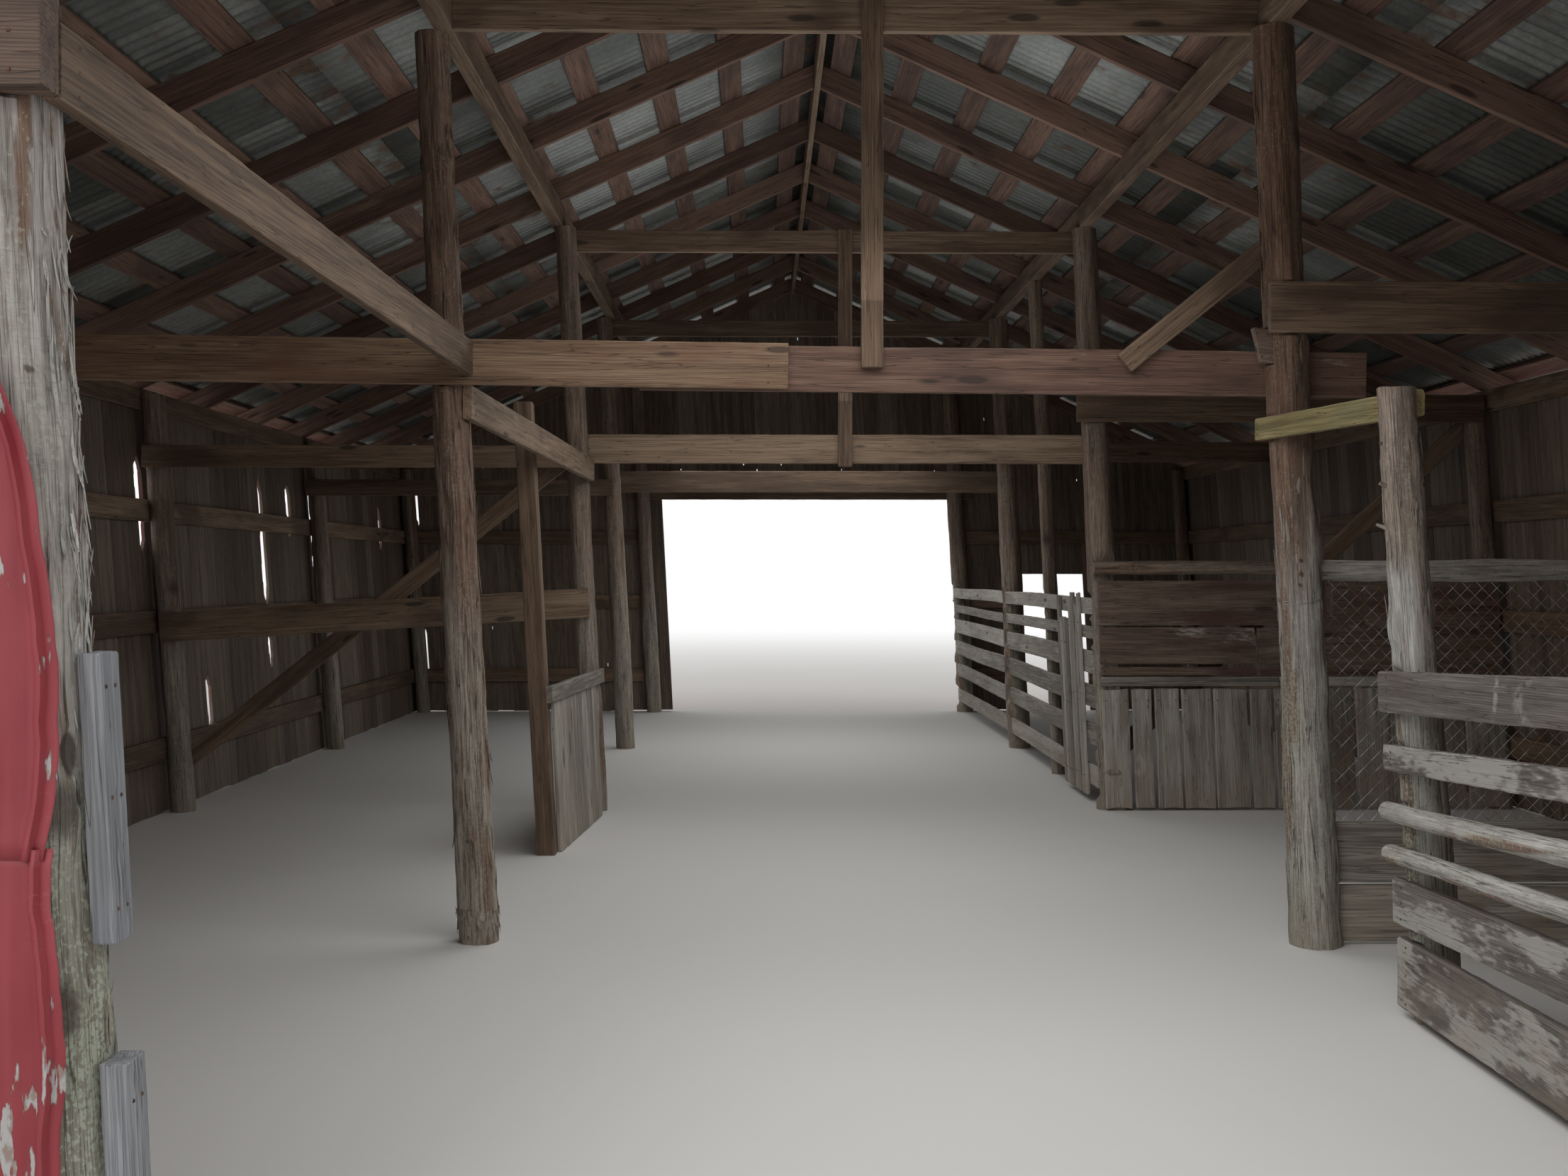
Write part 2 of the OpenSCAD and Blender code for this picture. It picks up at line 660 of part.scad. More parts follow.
// Low boarded partition on the left, leaning with the stud and the pole that it runs between
low_rail_w = 90;
low_board_w = 165;
low_y0 = stud_y - stud_w / 2;
low_y1 = bent_y(3) + 30;
low_back_0 = pole_x(-1, 0) + pole_seat - 9;
low_back_1 = bent_pole_x(-1, 3, 0) + left_3_d / 2 - 14;
low_yaw = atan2(low_back_1 - low_back_0, low_y1 - low_y0);
low_len = norm([low_back_1 - low_back_0, low_y1 - low_y0]);
module low_place() translate([low_back_0, low_y0, 2]) rotate([0, -pole_lean, -low_yaw]) children();
module low_rail(g = 0)
    low_place()
        translate([-g, -g, low_wall_h - low_rail_w - g])
            cube([plank_t + upper(g, 1), low_len + 2 * g, low_rail_w + 2 * g]);
module low_partition() color(wood_grey) {
    low_rail();
    first = stud_w + 8;
    last = low_len - left_3_d / 2 - 45;
    n = floor((last - first) / low_board_w);
    low_place()
        for (k = [0 : n - 1])
            translate([0, first + k * low_board_w, 0])
                cube([board_t, low_board_w - 12, low_wall_h - low_rail_w - gap]);
}

// Boarded partition across the right bay of the third bent
stall_boards_w = [230, 200, 260, 190, 240, 290];
function stall_z(k) = k == 0 ? 12 : stall_z(k - 1) + stall_boards_w[k - 1] + 8;
module stall_boards(g = 0)
    for (k = [0 : len(stall_boards_w) - 1])
        cross_board(pole_x(1, stall_z(k)) - pole_seat, half_w + wall_shift(stall_z(k)) + pole_seat / 2,
                    bent_y(3) - pole_seat, stall_z(k), stall_boards_w[k], g, -1, board_t);
module stall_partition() color(wood_brown) stall_boards();
stall_log_y = bent_y(3) - pole_seat - log_rail_d / 2 + plank_t / 2;
stall_log_x0 = pole_x(1, stall_rail_z) - pole_seat;
stall_log_x1 = half_w + wall_shift(stall_rail_z) + pole_seat / 2;
module stall_log_seat(g) cross_log_seat(stall_log_x0, stall_log_x1, stall_log_y, stall_rail_z, g);

// Wire mesh panel across the right bay of the second bent
mesh_y = bent_y(2) - pole_seat - plank_t;
mesh_t = 6;
mesh_z0 = 500;
mesh_x0 = pole_x(1, mesh_rail_z) + right_pole_d / 2 - 18;
mesh_x1 = half_w + wall_shift(mesh_rail_z) - pole_seat / 2;
module mesh_log_seat(g) cross_log_seat(mesh_x0, mesh_x1 + pole_seat, mesh_y, mesh_rail_z, g);
module log_rails() color(wood_grey) {
    cross_log(stall_log_x0, stall_log_x1, stall_log_y, stall_rail_z);
    cross_log(mesh_x0, mesh_x1 + pole_seat, mesh_y, mesh_rail_z);
}
module mesh_sheet(g = 0)
    translate([mesh_x0 + 50 - g, mesh_y - mesh_t / 2 - g, mesh_z0 - g])
        cube([mesh_x1 - mesh_x0 - 50 + 2 * g, mesh_t + 2 * g,
              mesh_rail_z - log_rail_d / 2 - gap - mesh_z0 + 2 * g]);
module wire_mesh_panel() color(zinc) mesh_sheet();

// Short block on the same pole under the log rail, behind the wire
rail_block_h = 150;
rail_block_out = 90;
rail_block_seat = 35;
module rail_block(g = 0) {
    top = mesh_rail_z - log_rail_d / 2 - gap;
    x = pole_x(1, top) + right_pole_d / 2 - rail_block_seat;
    translate([x - g, mesh_y + mesh_t / 2 + gap - g, top - rail_block_h - g])
        cube([rail_block_out + 2 * g, plank_t + 2 * g, rail_block_h + 2 * g]);
}
module base_boards(g = 0)
    for (b = [[10, 230], [250, 245]])
        translate([pole_x(1, b[0]) + right_pole_d / 2 - 12 - g, mesh_y - plank_t / 2 - g, b[0] - g])
            cube([half_w + wall_shift(b[0]) - pole_x(1, b[0]) - right_pole_d / 2 + 12 + pole_seat / 2
                  + 2 * g, plank_t + 2 * g, b[1] + 2 * g]);
module mesh_base_boards() color(wood_grey) base_boards();

// Short log post of the front pen and the board that ties it to the second bent
pen_x = 1916;
pen_lean = 4.2;
pen_y = bent_y(2) - pen_post_y;
pen_seat = 62;
function pen_post_x(z) = pen_x - z * tan(pen_lean);
module pen_post() color(wood_grey)
    difference() {
        log_post(pen_x, pen_y, pen_post_h, pen_post_d, pen_post_d - pole_taper, pen_lean);
        pen_rails(gap);
        pen_tie_board(gap);
    }
pen_tie_w = 90;
pen_tie_seat = 11;
pen_tie_past = [98, 14];
module pen_tie_board(g = 0) {
    z = pen_post_h - pen_tie_w / 2 + 4;
    pole = [pole_x(1, z), bent_y(2) + right_2_dy];
    post = [pen_post_x(z), pen_y];
    to_post = (post - pole) / norm(post - pole);
    pole_off = (right_pole_d - pole_taper * z / pole_h + plank_t) / 2 - pen_tie_seat;
    post_off = (pen_post_d - pole_taper + plank_t) / 2 - pen_tie_seat;
    turn = asin((pole_off + post_off) / norm(post - pole));
    way = [to_post[0] * cos(turn) - to_post[1] * sin(turn), to_post[0] * sin(turn) + to_post[1] * cos(turn)];
    side = [way[1], -way[0]];
    a = pole + side * pole_off - way * pen_tie_past[0];
    b = post - side * post_off + way * pen_tie_past[1];
    long_strut([b[0], b[1], z - 5], [a[0], a[1], z + 12], plank_t, pen_tie_w, g, 0);
}
module pen_tie() color(wood_grey) pen_tie_board();

// Rails of the front pen: [height at the short post, rise to the front, size, round]
pen_rail_rows = [[1104, 116, 142, false], [878, 137, 92, false], [697, 125, 66, true],
                 [551, 130, 62, true], [392, 75, 156, false], [150, 0, 240, false]];
pen_past = 92;
pen_rail_end = 20;
module pen_rails(g = 0)
    for (r = pen_rail_rows) {
        t = r[3] ? r[2] : plank_t;
        a = [pen_post_x(r[0]) - pen_seat - t / 2, pen_y + pen_past, r[0]];
        b = [pole_x(1, r[0]) - pole_seat - t / 2, -half_l - pen_rail_end, r[0] + r[1]];
        if (r[3] && g == 0) round_rail(a, b, r[2]);
        else long_strut(a, b, t, r[2], g, 1);
    }
module pen_fence() color(wood_grey) pen_rails();

// Slatted fence along the right of the aisle behind the third bent, leaning with its poles
slat_rows = [[120, 140], [390, 140], [630, 150], [860, 150], [1080, 84], [1245, 109]];
slat_seat = pole_seat - 20;
module aisle_strip(off, z0, z1, y0, y1, g = 0)
    section_slab([[pole_x(1, z0) - off - board_t - lower(g, -1), z0 - g], [pole_x(1, z0) - off + g, z0 - g],
                  [pole_x(1, z1) - off + g, z1 + g], [pole_x(1, z1) - off - board_t - lower(g, -1), z1 + g]],
                 y0 - g, y1 + g);
module slats(g = 0)
    for (s = slat_rows) {
        z = s[0] * slat_fence_h / 1354;
        for (k = [0, 1])
            aisle_strip(slat_seat, z, z + s[1], k == 0 ? bent_y(3) - 30 : bent_y(4) + 3,
                        k == 0 ? bent_y(4) - 3 : bent_y(5) + pole_seat - gap - 1, g);
    }
picket_w = [150, 165, 140, 160];
picket_gap = 45;
picket_y0 = 240;
function picket_y(k) = k == 0 ? bent_y(3) + right_pole_d / 2 + picket_y0
                              : picket_y(k - 1) + picket_w[k - 1] + picket_gap;
module pickets()
    for (k = [0 : len(picket_w) - 1])
        aisle_strip(slat_seat + board_t + gap, 40, slat_fence_h + 28, picket_y(k), picket_y(k) + picket_w[k]);
module slatted_fence() color(wood_grey) {
    slats();
    pickets();
}

left_aisle_poles();
right_aisle_poles();
wall_posts();
purlin_plates();
wall_plates();
tie_beams();
collar_beams();
hangers();
knee_brace();
side_braces();
side_beams();
left_side_rail();
front_headers();
back_header();
aisle_girts();
aisle_stud();
pole_cleats();
ridge_board();
left_rafters();
right_rafters();
left_laths();
right_laths();
left_roof();
right_roof();
ridge_cap();
wall_girts();
end_girts();
left_wall();
right_wall();
front_left_wall();
front_right_wall();
front_gable();
back_left_wall();
back_right_wall();
back_gable();
low_partition();
stall_partition();
log_rails();
wire_mesh_panel();
mesh_base_boards();
pen_post();
pen_tie();
pen_fence();
slatted_fence();
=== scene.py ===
"""Looks of the old pole barn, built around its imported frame. Metres, +Z up, +Y along the ridge."""
import math

import bmesh
import bpy
import numpy as np
from mathutils import Matrix, Vector
from mathutils.bvhtree import BVHTree


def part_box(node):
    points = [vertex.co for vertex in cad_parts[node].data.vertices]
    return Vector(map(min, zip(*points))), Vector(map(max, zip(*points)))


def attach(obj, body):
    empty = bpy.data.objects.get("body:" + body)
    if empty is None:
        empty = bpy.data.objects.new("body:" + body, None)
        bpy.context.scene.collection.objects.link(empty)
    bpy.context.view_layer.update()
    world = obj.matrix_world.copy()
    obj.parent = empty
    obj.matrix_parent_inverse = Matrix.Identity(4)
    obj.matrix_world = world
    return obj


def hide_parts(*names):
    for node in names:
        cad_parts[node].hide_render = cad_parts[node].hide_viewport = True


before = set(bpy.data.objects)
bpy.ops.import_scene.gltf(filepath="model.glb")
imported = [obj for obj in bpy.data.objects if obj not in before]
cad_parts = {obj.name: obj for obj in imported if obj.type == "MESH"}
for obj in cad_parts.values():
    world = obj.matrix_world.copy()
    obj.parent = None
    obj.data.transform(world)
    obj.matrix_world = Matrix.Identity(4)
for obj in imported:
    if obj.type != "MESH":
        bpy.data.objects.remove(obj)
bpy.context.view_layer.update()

# Camera, at the place of the photograph's
CAMERA_PLACE = (-0.365, -10.1, 1.50)
CAMERA_TURN = (89.5, 0.0, -0.895)
LENS = 36.46
SENSOR = 36.0

# Sizes that the frame shares
HALF_AISLE = 1.70
SKIN_BACK = -7.297
HALF_W = 4.20
BAY = 3.60
HALF_L = 2 * BAY
RACK = 0.19
EAVE = 2.70
PITCH = math.radians(24.2)
SLOPE = math.tan(PITCH)
GIRT_OUT = 0.098
SKIN_OUT = 0.123
PLATE_W = 0.14
BOARD_T = 0.025
GIRT_HEIGHTS = (0.40, 1.20, 1.90)
# Nails near the top of the walls' boards, at the sides and the back
SIDE_NAILS = 2.55
BACK_NAILS = 2.45
BACK_DOOR_H = 2.315
STOCK_DOOR = (2.52, 3.28, 1.50)
RIDGE_Z = EAVE + HALF_W * SLOPE
POLE_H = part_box("left_aisle_poles")[1].z
ROOF_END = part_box("left_roof")[1].y
END_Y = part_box("left_wall")[1].y


def random_of(seed):
    """Random numbers that come out the same each time."""
    return np.random.default_rng(seed)


def smooth(value, low, high):
    """0 below low, 1 above high, eased between."""
    t = np.clip((value - low) / (high - low), 0.0, 1.0)
    return t * t * (3.0 - 2.0 * t)


def unit(way):
    return way / np.linalg.norm(way)


def angle_of(out):
    """Angle of each row about the vertical."""
    return np.arctan2(out[:, 1], out[:, 0])


def wall_shift(z):
    """Sideways lean of a wall at height z."""
    return RACK * (1.0 - min(z, EAVE) / EAVE)


def placed(name, data, location=(0, 0, 0), turn=(0, 0, 0)):
    """A new object in the scene, turned by degrees."""
    made = bpy.data.objects.new(name, data)
    made.location = location
    made.rotation_euler = [math.radians(angle) for angle in turn]
    bpy.context.scene.collection.objects.link(made)
    return made


def read(items, key, width=1):
    """Values of points or of an attribute's items, in rows where width is more than 1."""
    values = np.empty(len(items) * width)
    items.foreach_get(key, values)
    return values.reshape(-1, width) if width > 1 else values


def points_of(mesh):
    return read(mesh.vertices, "co", 3)


def store(mesh, name, values):
    """Keeps values as a point attribute: a vector for each row, or a number each."""
    kind, key = ("FLOAT_VECTOR", "vector") if values.ndim == 2 else ("FLOAT", "value")
    mesh.attributes.new(name, kind, "POINT").data.foreach_set(key, values.astype(np.float32).ravel())


def block(place):
    """Eight corners of a block as [along][across][through], each where place(i, j, k) puts it."""
    return np.array([[[place(i, j, k) for k in (0, 1)] for j in (0, 1)] for i in (0, 1)], float)


def strip(corners, low, high):
    """The lengthwise strip of a block between two shares of its width."""
    return np.stack([corners[:, 0] + (corners[:, 1] - corners[:, 0]) * share for share in (low, high)], 1)


def swept_faces(rings, around, closed=True, flip=False):
    """Quads between rings of points, and the two ends where the rings are closed."""
    faces = [[i * around + j, i * around + (j + 1) % around,
              (i + 1) * around + (j + 1) % around, (i + 1) * around + j]
             for i in range(rings - 1) for j in range(around if closed else around - 1)]
    if closed:
        ends = np.arange(rings * around).reshape(rings, around).tolist()
        faces += [ends[0][::-1], ends[-1]]
    return [face[::-1] for face in faces] if flip else faces


def arithmetic(operation):
    """A method of Value that adds one arithmetic node."""
    return lambda value, *others: value.math(operation, *others)


class Value:
    """A socket in a node tree, with the arithmetic that the patterns use."""

    def __init__(self, maker, socket):
        self.maker = maker
        self.socket = socket

    def math(self, operation, *others):
        values = dict(enumerate((self, *others)))
        return self.maker.node("ShaderNodeMath", {"operation": operation}, values)

    def __rsub__(self, other):
        return self.maker.node("ShaderNodeMath", {"operation": "SUBTRACT"}, {0: other, 1: self})

    __add__ = __radd__ = arithmetic("ADD")
    __sub__ = arithmetic("SUBTRACT")
    __mul__ = __rmul__ = arithmetic("MULTIPLY")
    __truediv__ = arithmetic("DIVIDE")
    sine = arithmetic("SINE")
    size = arithmetic("ABSOLUTE")
    root = arithmetic("SQRT")

    def eased(self, low, high):
        """0 at low, 1 at high, eased between; high may be the smaller."""
        return self.maker.node("ShaderNodeMapRange", {"interpolation_type": "SMOOTHSTEP"},
                               {"Value": self, "From Min": low, "From Max": high})


class Maker:
    """Adds nodes to one tree and links them."""

    def __init__(self, tree):
        self.tree = tree

    def node(self, kind, settings=None, values=None, output=0):
        made = self.tree.nodes.new(kind)
        for key, value in (settings or {}).items():
            if key == "stops":
                self.set_stops(made.color_ramp.elements, value)
            else:
                setattr(made, key, value)
        for key, value in (values or {}).items():
            if isinstance(value, Value):
                self.tree.links.new(value.socket, made.inputs[key])
            else:
                made.inputs[key].default_value = value
        return Value(self, made.outputs[output]) if len(made.outputs) else made

    @staticmethod
    def set_stops(elements, stops):
        while len(elements) < len(stops):
            elements.new(0.5)
        for element, (place, colour) in zip(elements, stops):
            element.position = place
            element.color = (*colour, 1.0)

    def combine(self, x, y, z):
        return self.node("ShaderNodeCombineXYZ", values={0: x, 1: y, 2: z})

    def parts(self, vector):
        first = self.node("ShaderNodeSeparateXYZ", values={0: vector})
        return [Value(self, socket) for socket in first.socket.node.outputs]

    def vector(self, operation, a, b):
        return self.node("ShaderNodeVectorMath", {"operation": operation}, {0: a, 1: b})

    def noise(self, place, scale, detail=2.0, output=0):
        scaled = self.vector("MULTIPLY", place, scale)
        return self.node("ShaderNodeTexNoise", {"noise_dimensions": "3D"},
                         {"Vector": scaled, "Scale": 1.0, "Detail": detail}, output)

    def lines(self, place, scale, detail, width):
        """Thin lines, where a noise crosses its middle."""
        return (self.noise(place, scale, detail) - 0.5).size().eased(width, 0.0)

    def cells(self, place, scale, output="Distance"):
        scaled = self.vector("MULTIPLY", place, scale)
        return self.node("ShaderNodeTexVoronoi", values={"Vector": scaled, "Scale": 1.0},
                         output=output)


class Finish(Maker):
    """A material under construction: coats laid over a base colour."""

    def __init__(self, name):
        self.material = bpy.data.materials.new(name)
        self.material.use_nodes = True
        super().__init__(self.material.node_tree)
        self.tree.nodes.clear()
        self.base = None

    def attribute(self, name, output="Fac"):
        return self.node("ShaderNodeAttribute", {"attribute_name": name}, output=output)

    def place(self):
        return self.node("ShaderNodeTexCoord", output="Object")

    def mix(self, amount, a, b, blend="MIX"):
        values = {0: amount, 6: self.colour(a), 7: self.colour(b)}
        return self.node("ShaderNodeMix", {"data_type": "RGBA", "blend_type": blend}, values, 2)

    def coat(self, amount, colour, blend="MIX"):
        self.base = self.mix(amount, self.base, colour, blend)

    @staticmethod
    def colour(value):
        return value if isinstance(value, Value) else (*value, 1.0)

    def ramp(self, amount, stops):
        return self.node("ShaderNodeValToRGB", {"stops": stops}, {"Fac": amount})

    def shades(self, amount, colours, places=(0.28, 0.50, 0.74)):
        """Dark, middle and light of one material."""
        return self.ramp(amount, list(zip(places, colours)))

    def surface(self, roughness, height, depth, metallic=0.0, strength=0.6):
        """Closes the material: height is a relief, depth metres deep."""
        values = {"Base Color": self.base, "Roughness": roughness, "Metallic": metallic}
        values["Normal"] = self.node("ShaderNodeBump", values={
            "Strength": strength, "Distance": depth, "Height": height})
        shader = self.node("ShaderNodeBsdfPrincipled", values=values)
        self.node("ShaderNodeOutputMaterial", values={"Surface": shader})
        return self.material


# Wood

def grain(f, place):
    """Fine streaks, broad streaks, growth bands and drying cracks of a board along its fibres."""
    fine = f.noise(place, (150, 150, 5), 3)
    broad = f.noise(place, (22, 22, 1.1), 3)
    x, y, _ = f.parts(place)
    pith = (x * x + y * y).root()
    bands = (pith * 900.0 + broad * 14.0).sine() * 0.5 + 0.5
    cracks = f.lines(place, (42, 42, 1.3), 2, 0.012)
    return fine, broad, bands, cracks


# Colour of a board's drying cracks
CRACK = (0.03, 0.022, 0.018)
# Pale runs down the pen's top board: height of their middle, and place of the straight and the bent one
RUN_HEIGHT = 1.145
RUN_PLACES = (5.59, 5.70)


def plank_finish(name, dark, middle, light, stain, stain_amount=0.5, dust=0.0,
                 wash=(0.50, 0.475, 0.42), streaked=False):
    """Weathered boards and timbers: grain, stains, knots, pale smears, cracks and dust at the foot."""
    f = Finish(name)
    fibre = f.attribute("fibre", "Vector")
    fine, broad, bands, cracks = grain(f, fibre)
    tone = f.attribute("tone")
    shade = fine * 0.55 + broad * 0.55 + bands * 0.10 + (tone - 0.5) * 0.30 - 0.10
    f.base = f.shades(shade, (dark, middle, light))
    blotch = f.noise(fibre, (5, 5, 1.6), 4)
    f.coat(blotch.eased(0.50, 0.68) * stain_amount, stain)
    knot = f.cells(fibre, (9, 9, 2.1))
    knots = knot.eased(0.17, 0.10) * tone.eased(0.2, 0.5)
    f.coat(knots * 0.75, CRACK)
    f.coat(f.attribute("edge") * 0.35, light)
    smear = f.noise(fibre, (8, 8, 2.6), 5) + f.noise(fibre, (70, 70, 16), 4) * 0.5
    washed = (smear + f.attribute("paint") * 0.30).eased(1.02, 1.18) * 0.7
    f.coat(washed, wash)
    if streaked:
        _, y, z = f.parts(f.place())
        rise = z - RUN_HEIGHT
        patchy = f.noise(fibre, (26, 26, 26), 5)
        straight = (y + rise * 0.20 + patchy * 0.020 + RUN_PLACES[0]).size().eased(0.018, 0.004)
        bent = y + rise * rise * 18.0 + patchy * 0.06 + RUN_PLACES[1]
        smudge = bent.size().eased(0.045, 0.004) * 0.7
        runs = (straight + smudge) * rise.size().eased(0.080, 0.040) * patchy.eased(0.42, 0.56)
        f.coat(runs * 0.5, (0.46, 0.46, 0.44))
    f.coat(cracks * 0.65, CRACK)
    if dust:
        z = f.parts(f.place())[2]
        low = z.eased(0.55, 0.0) * f.noise(fibre, (14, 14, 6), 3).eased(0.30, 0.62)
        f.coat(low * dust, (0.33, 0.27, 0.20))
    height = fine * 0.5 + bands * 0.25 + washed * 0.15 - cracks - knots * 0.5
    return f.surface(fine * 0.25 + 0.68, height, 0.0025)


def log_finish(name, bare, red_bark, bleached):
    """Debarked poles: grey-tan wood with long cracks, strips of old bark, knots, bleached where lit."""
    f = Finish(name)
    fibre = f.attribute("fibre", "Vector")
    bleach = f.attribute("bleach")
    bark = f.attribute("bark")
    z = f.parts(f.place())[2]
    fine = f.noise(fibre, (120, 120, 6), 4)
    broad = f.noise(fibre, (26, 26, 1.6), 4)
    flecks = f.noise(fibre, (60, 60, 26), 3)
    cracks = f.lines(fibre, (34, 34, 0.9), 2, 0.014)
    splits = f.lines(fibre, (95, 95, 3.2), 3, 0.030)
    shade = fine * 0.55 + broad * 0.6 + flecks * 0.25 - 0.20
    wood, pale = [f.shades(shade, tones, (0.30, 0.50, 0.72)) for tones in (bare, bleached)]
    f.base = f.mix(bleach, wood, pale)
    high = (z + broad * 0.9).eased(1.35, 2.45) * (1.0 - bleach)
    browned = f.shades(shade, red_bark, (0.30, 0.52, 0.74))
    f.coat(high * 0.8, browned)
    patchy = bark * (broad * 0.6 + flecks * 0.6).eased(0.38, 0.60)
    f.coat(patchy * 0.9, browned)
    spots = f.noise(f.place(), (115, 115, 90), 4)
    patches = f.noise(f.place(), (7, 7, 3.5), 4)
    moss = f.attribute("paint") * z.eased(1.45, 0.80)
    f.coat(moss * (0.40 + patches * 0.45), (0.205, 0.205, 0.140))
    lichen = (spots + patches * 0.5 + z.eased(1.9, 0.2) * 0.10).eased(0.83, 0.90)
    lichen = lichen * (0.35 + bleach * 0.65)
    f.coat(lichen * (moss * 0.35 + 0.42), (0.46, 0.50, 0.40))
    f.coat(f.attribute("knot").eased(0.35, 0.95) * 0.8, (0.055, 0.036, 0.026))
    checks = f.lines(fibre, (9, 9, 130), 3, 0.012) * patches.eased(0.48, 0.60)
    f.coat(checks * bleach * 0.6, (0.12, 0.10, 0.085))
    f.coat(splits * 0.45, (0.075, 0.055, 0.042))
    f.coat(cracks * 0.75, (0.035, 0.026, 0.02))
    low = z.eased(0.35, 0.0) * flecks.eased(0.35, 0.6)
    f.coat(low * 0.6, (0.30, 0.25, 0.19))
    height = fine * 0.5 + broad * 0.5 + bark * 0.8 - cracks - splits * 0.4
    return f.surface(fine * 0.2 + 0.72, height, 0.004)


def painted_plank_finish(name, bare, red, faded):
    """Upright wall boards: old red paint outside, worn to the grain, bare and dark inside."""
    f = Finish(name)
    fibre = f.attribute("fibre", "Vector")
    fine, broad, bands, cracks = grain(f, fibre)
    tone = f.attribute("tone")
    shade = fine * 0.55 + broad * 0.55 + bands * 0.08 + (tone - 0.5) * 0.25 - 0.08
    wood = f.shades(shade, bare)
    wash = f.noise(fibre, (4, 4, 1.2), 4)
    paint = f.mix((wash + tone * 0.25).eased(0.45, 0.80), red, faded)
    paint = f.mix(fine.eased(0.52, 0.70) * 0.35, paint, faded)
    z = f.parts(f.place())[2]
    worn = fine * 0.7 + broad * 0.5 + z.eased(0.55, 0.0) * 0.16 + f.attribute("edge") * 0.12
    cover = f.attribute("paint") * worn.eased(0.76, 0.66)
    f.base = f.mix(cover, wood, paint)
    f.coat(cracks * 0.8, CRACK)
    height = fine * 0.4 + bands * 0.2 + cover * 0.4 - cracks
    return f.surface(fine * 0.2 + 0.66, height, 0.0025)


# Metal and wire

# Where the paint has flaked beside the front pole
FLAKED_EDGE_X = -1.655


def red_sheet_finish():
    """Faded, chalking red enamel with dents, scuffs, and flakes down to zinc and rust."""
    f = Finish("red_sheet")
    place = f.place()
    cloud = f.noise(place, (2.6, 2.6, 1.4), 4)
    streak = f.noise(place, (28, 28, 1.2), 3)
    chalk = (cloud * 0.8 + streak * 0.35).eased(0.42, 0.72)
    f.base = f.mix(chalk, (0.240, 0.021, 0.032), (0.350, 0.060, 0.074))
    scuff = f.lines(place, (9, 9, 34), 3, 0.006) * cloud.eased(0.50, 0.62)
    f.coat(scuff * 0.30, (0.56, 0.30, 0.30))
    x, _, z = f.parts(place)
    patch = f.noise(place, (3.2, 3.2, 2.4), 3).eased(0.36, 0.62)
    flaking = f.noise(place, (40, 40, 9), 5) + z.eased(0.85, 0.05) * (patch * 0.19 + 0.02)
    by_pole = (x - FLAKED_EDGE_X).size().eased(0.065, 0.025) * z.eased(0.68, 0.58)
    flaking = flaking + f.attribute("edge") * 0.07 + by_pole * 0.17
    flake = flaking.eased(0.69, 0.72)
    rim = flaking.eased(0.65, 0.70)
    rust = f.noise(place, (60, 60, 30), 3).eased(0.45, 0.60)
    bare = f.mix(rust * 0.6, (0.46, 0.46, 0.45), (0.22, 0.10, 0.055))
    f.coat(rim * 0.5, (0.20, 0.045, 0.040))
    f.coat(flake, bare)
    dents = f.noise(place, (5, 5, 5), 2)
    height = dents * 2.0 + streak * 0.12 - flake * 0.25
    return f.surface(chalk * 0.2 + 0.42, height, 0.005, flake * 0.15)


def zinc_finish():
    """Weathered galvanised sheet: dull spangle, pale bloom, water streaks, rust at laps and nails, and
    painted shade with patchy grime on the undersides.
    """
    f = Finish("zinc_sheet")
    place = f.place()
    tone = f.attribute("tone")
    flake = f.parts(f.cells(place, (60, 60, 60), "Color"))[0]
    bloom = f.noise(place, (1.6, 1.6, 1.6), 5)
    streak = f.noise(place, (1.4, 26, 1.4), 4)
    shade = flake * 0.16 + bloom * 0.5 + streak * 0.4 + (tone - 0.5) * 0.35 - 0.05
    f.base = f.shades(shade, ((0.21, 0.24, 0.225), (0.34, 0.37, 0.355), (0.52, 0.54, 0.53)),
                      (0.25, 0.5, 0.78))
    rusting = f.noise(place, (7, 7, 7), 5) * 0.8 + streak * 0.25 + f.attribute("edge") * 0.13
    rust = rusting.eased(0.60, 0.76)
    rusty = f.ramp(f.noise(place, (50, 50, 50), 3),
                   [(0.35, (0.13, 0.055, 0.028)), (0.65, (0.33, 0.15, 0.065))])
    f.coat(rust * 0.8, rusty)
    # Faces that look down are darkened: a plain painted shade on every underside, with patchy grime over it
    down = f.parts(f.node("ShaderNodeNewGeometry", output="True Normal"))[2].eased(0.0, -0.4)
    underside_grime_and_shade = down * (bloom * 0.7 + tone * 0.5).eased(0.85, 0.35)
    f.coat(down * 0.35 + underside_grime_and_shade * 0.55, (0.30, 0.29, 0.27), "MULTIPLY")
    return f.surface(bloom * 0.2 + rust * 0.3 + 0.36, flake * 0.15 + bloom + rust * 0.4,
                     0.002, 0.55 - rust * 0.5, 0.4)


def wire_finish():
    """Thin steel wire, partly rusted."""
    f = Finish("steel_wire")
    place = f.place()
    rust = f.noise(place, (18, 18, 18), 4).eased(0.44, 0.60)
    f.base = f.mix(rust, (0.42, 0.42, 0.41), (0.20, 0.095, 0.045))
    return f.surface(rust * 0.3 + 0.45, f.noise(place, (300, 300, 300), 2), 0.0006,
                     0.7 - rust * 0.6)


def nail_finish():
    """Rusty nail heads."""
    f = Finish("nail_iron")
    rust = f.noise(f.place(), (90, 90, 90), 3)
    f.base = f.ramp(rust, [(0.35, (0.050, 0.032, 0.024)), (0.65, (0.20, 0.10, 0.055))])
    return f.surface(0.75, rust, 0.0008, 0.35)


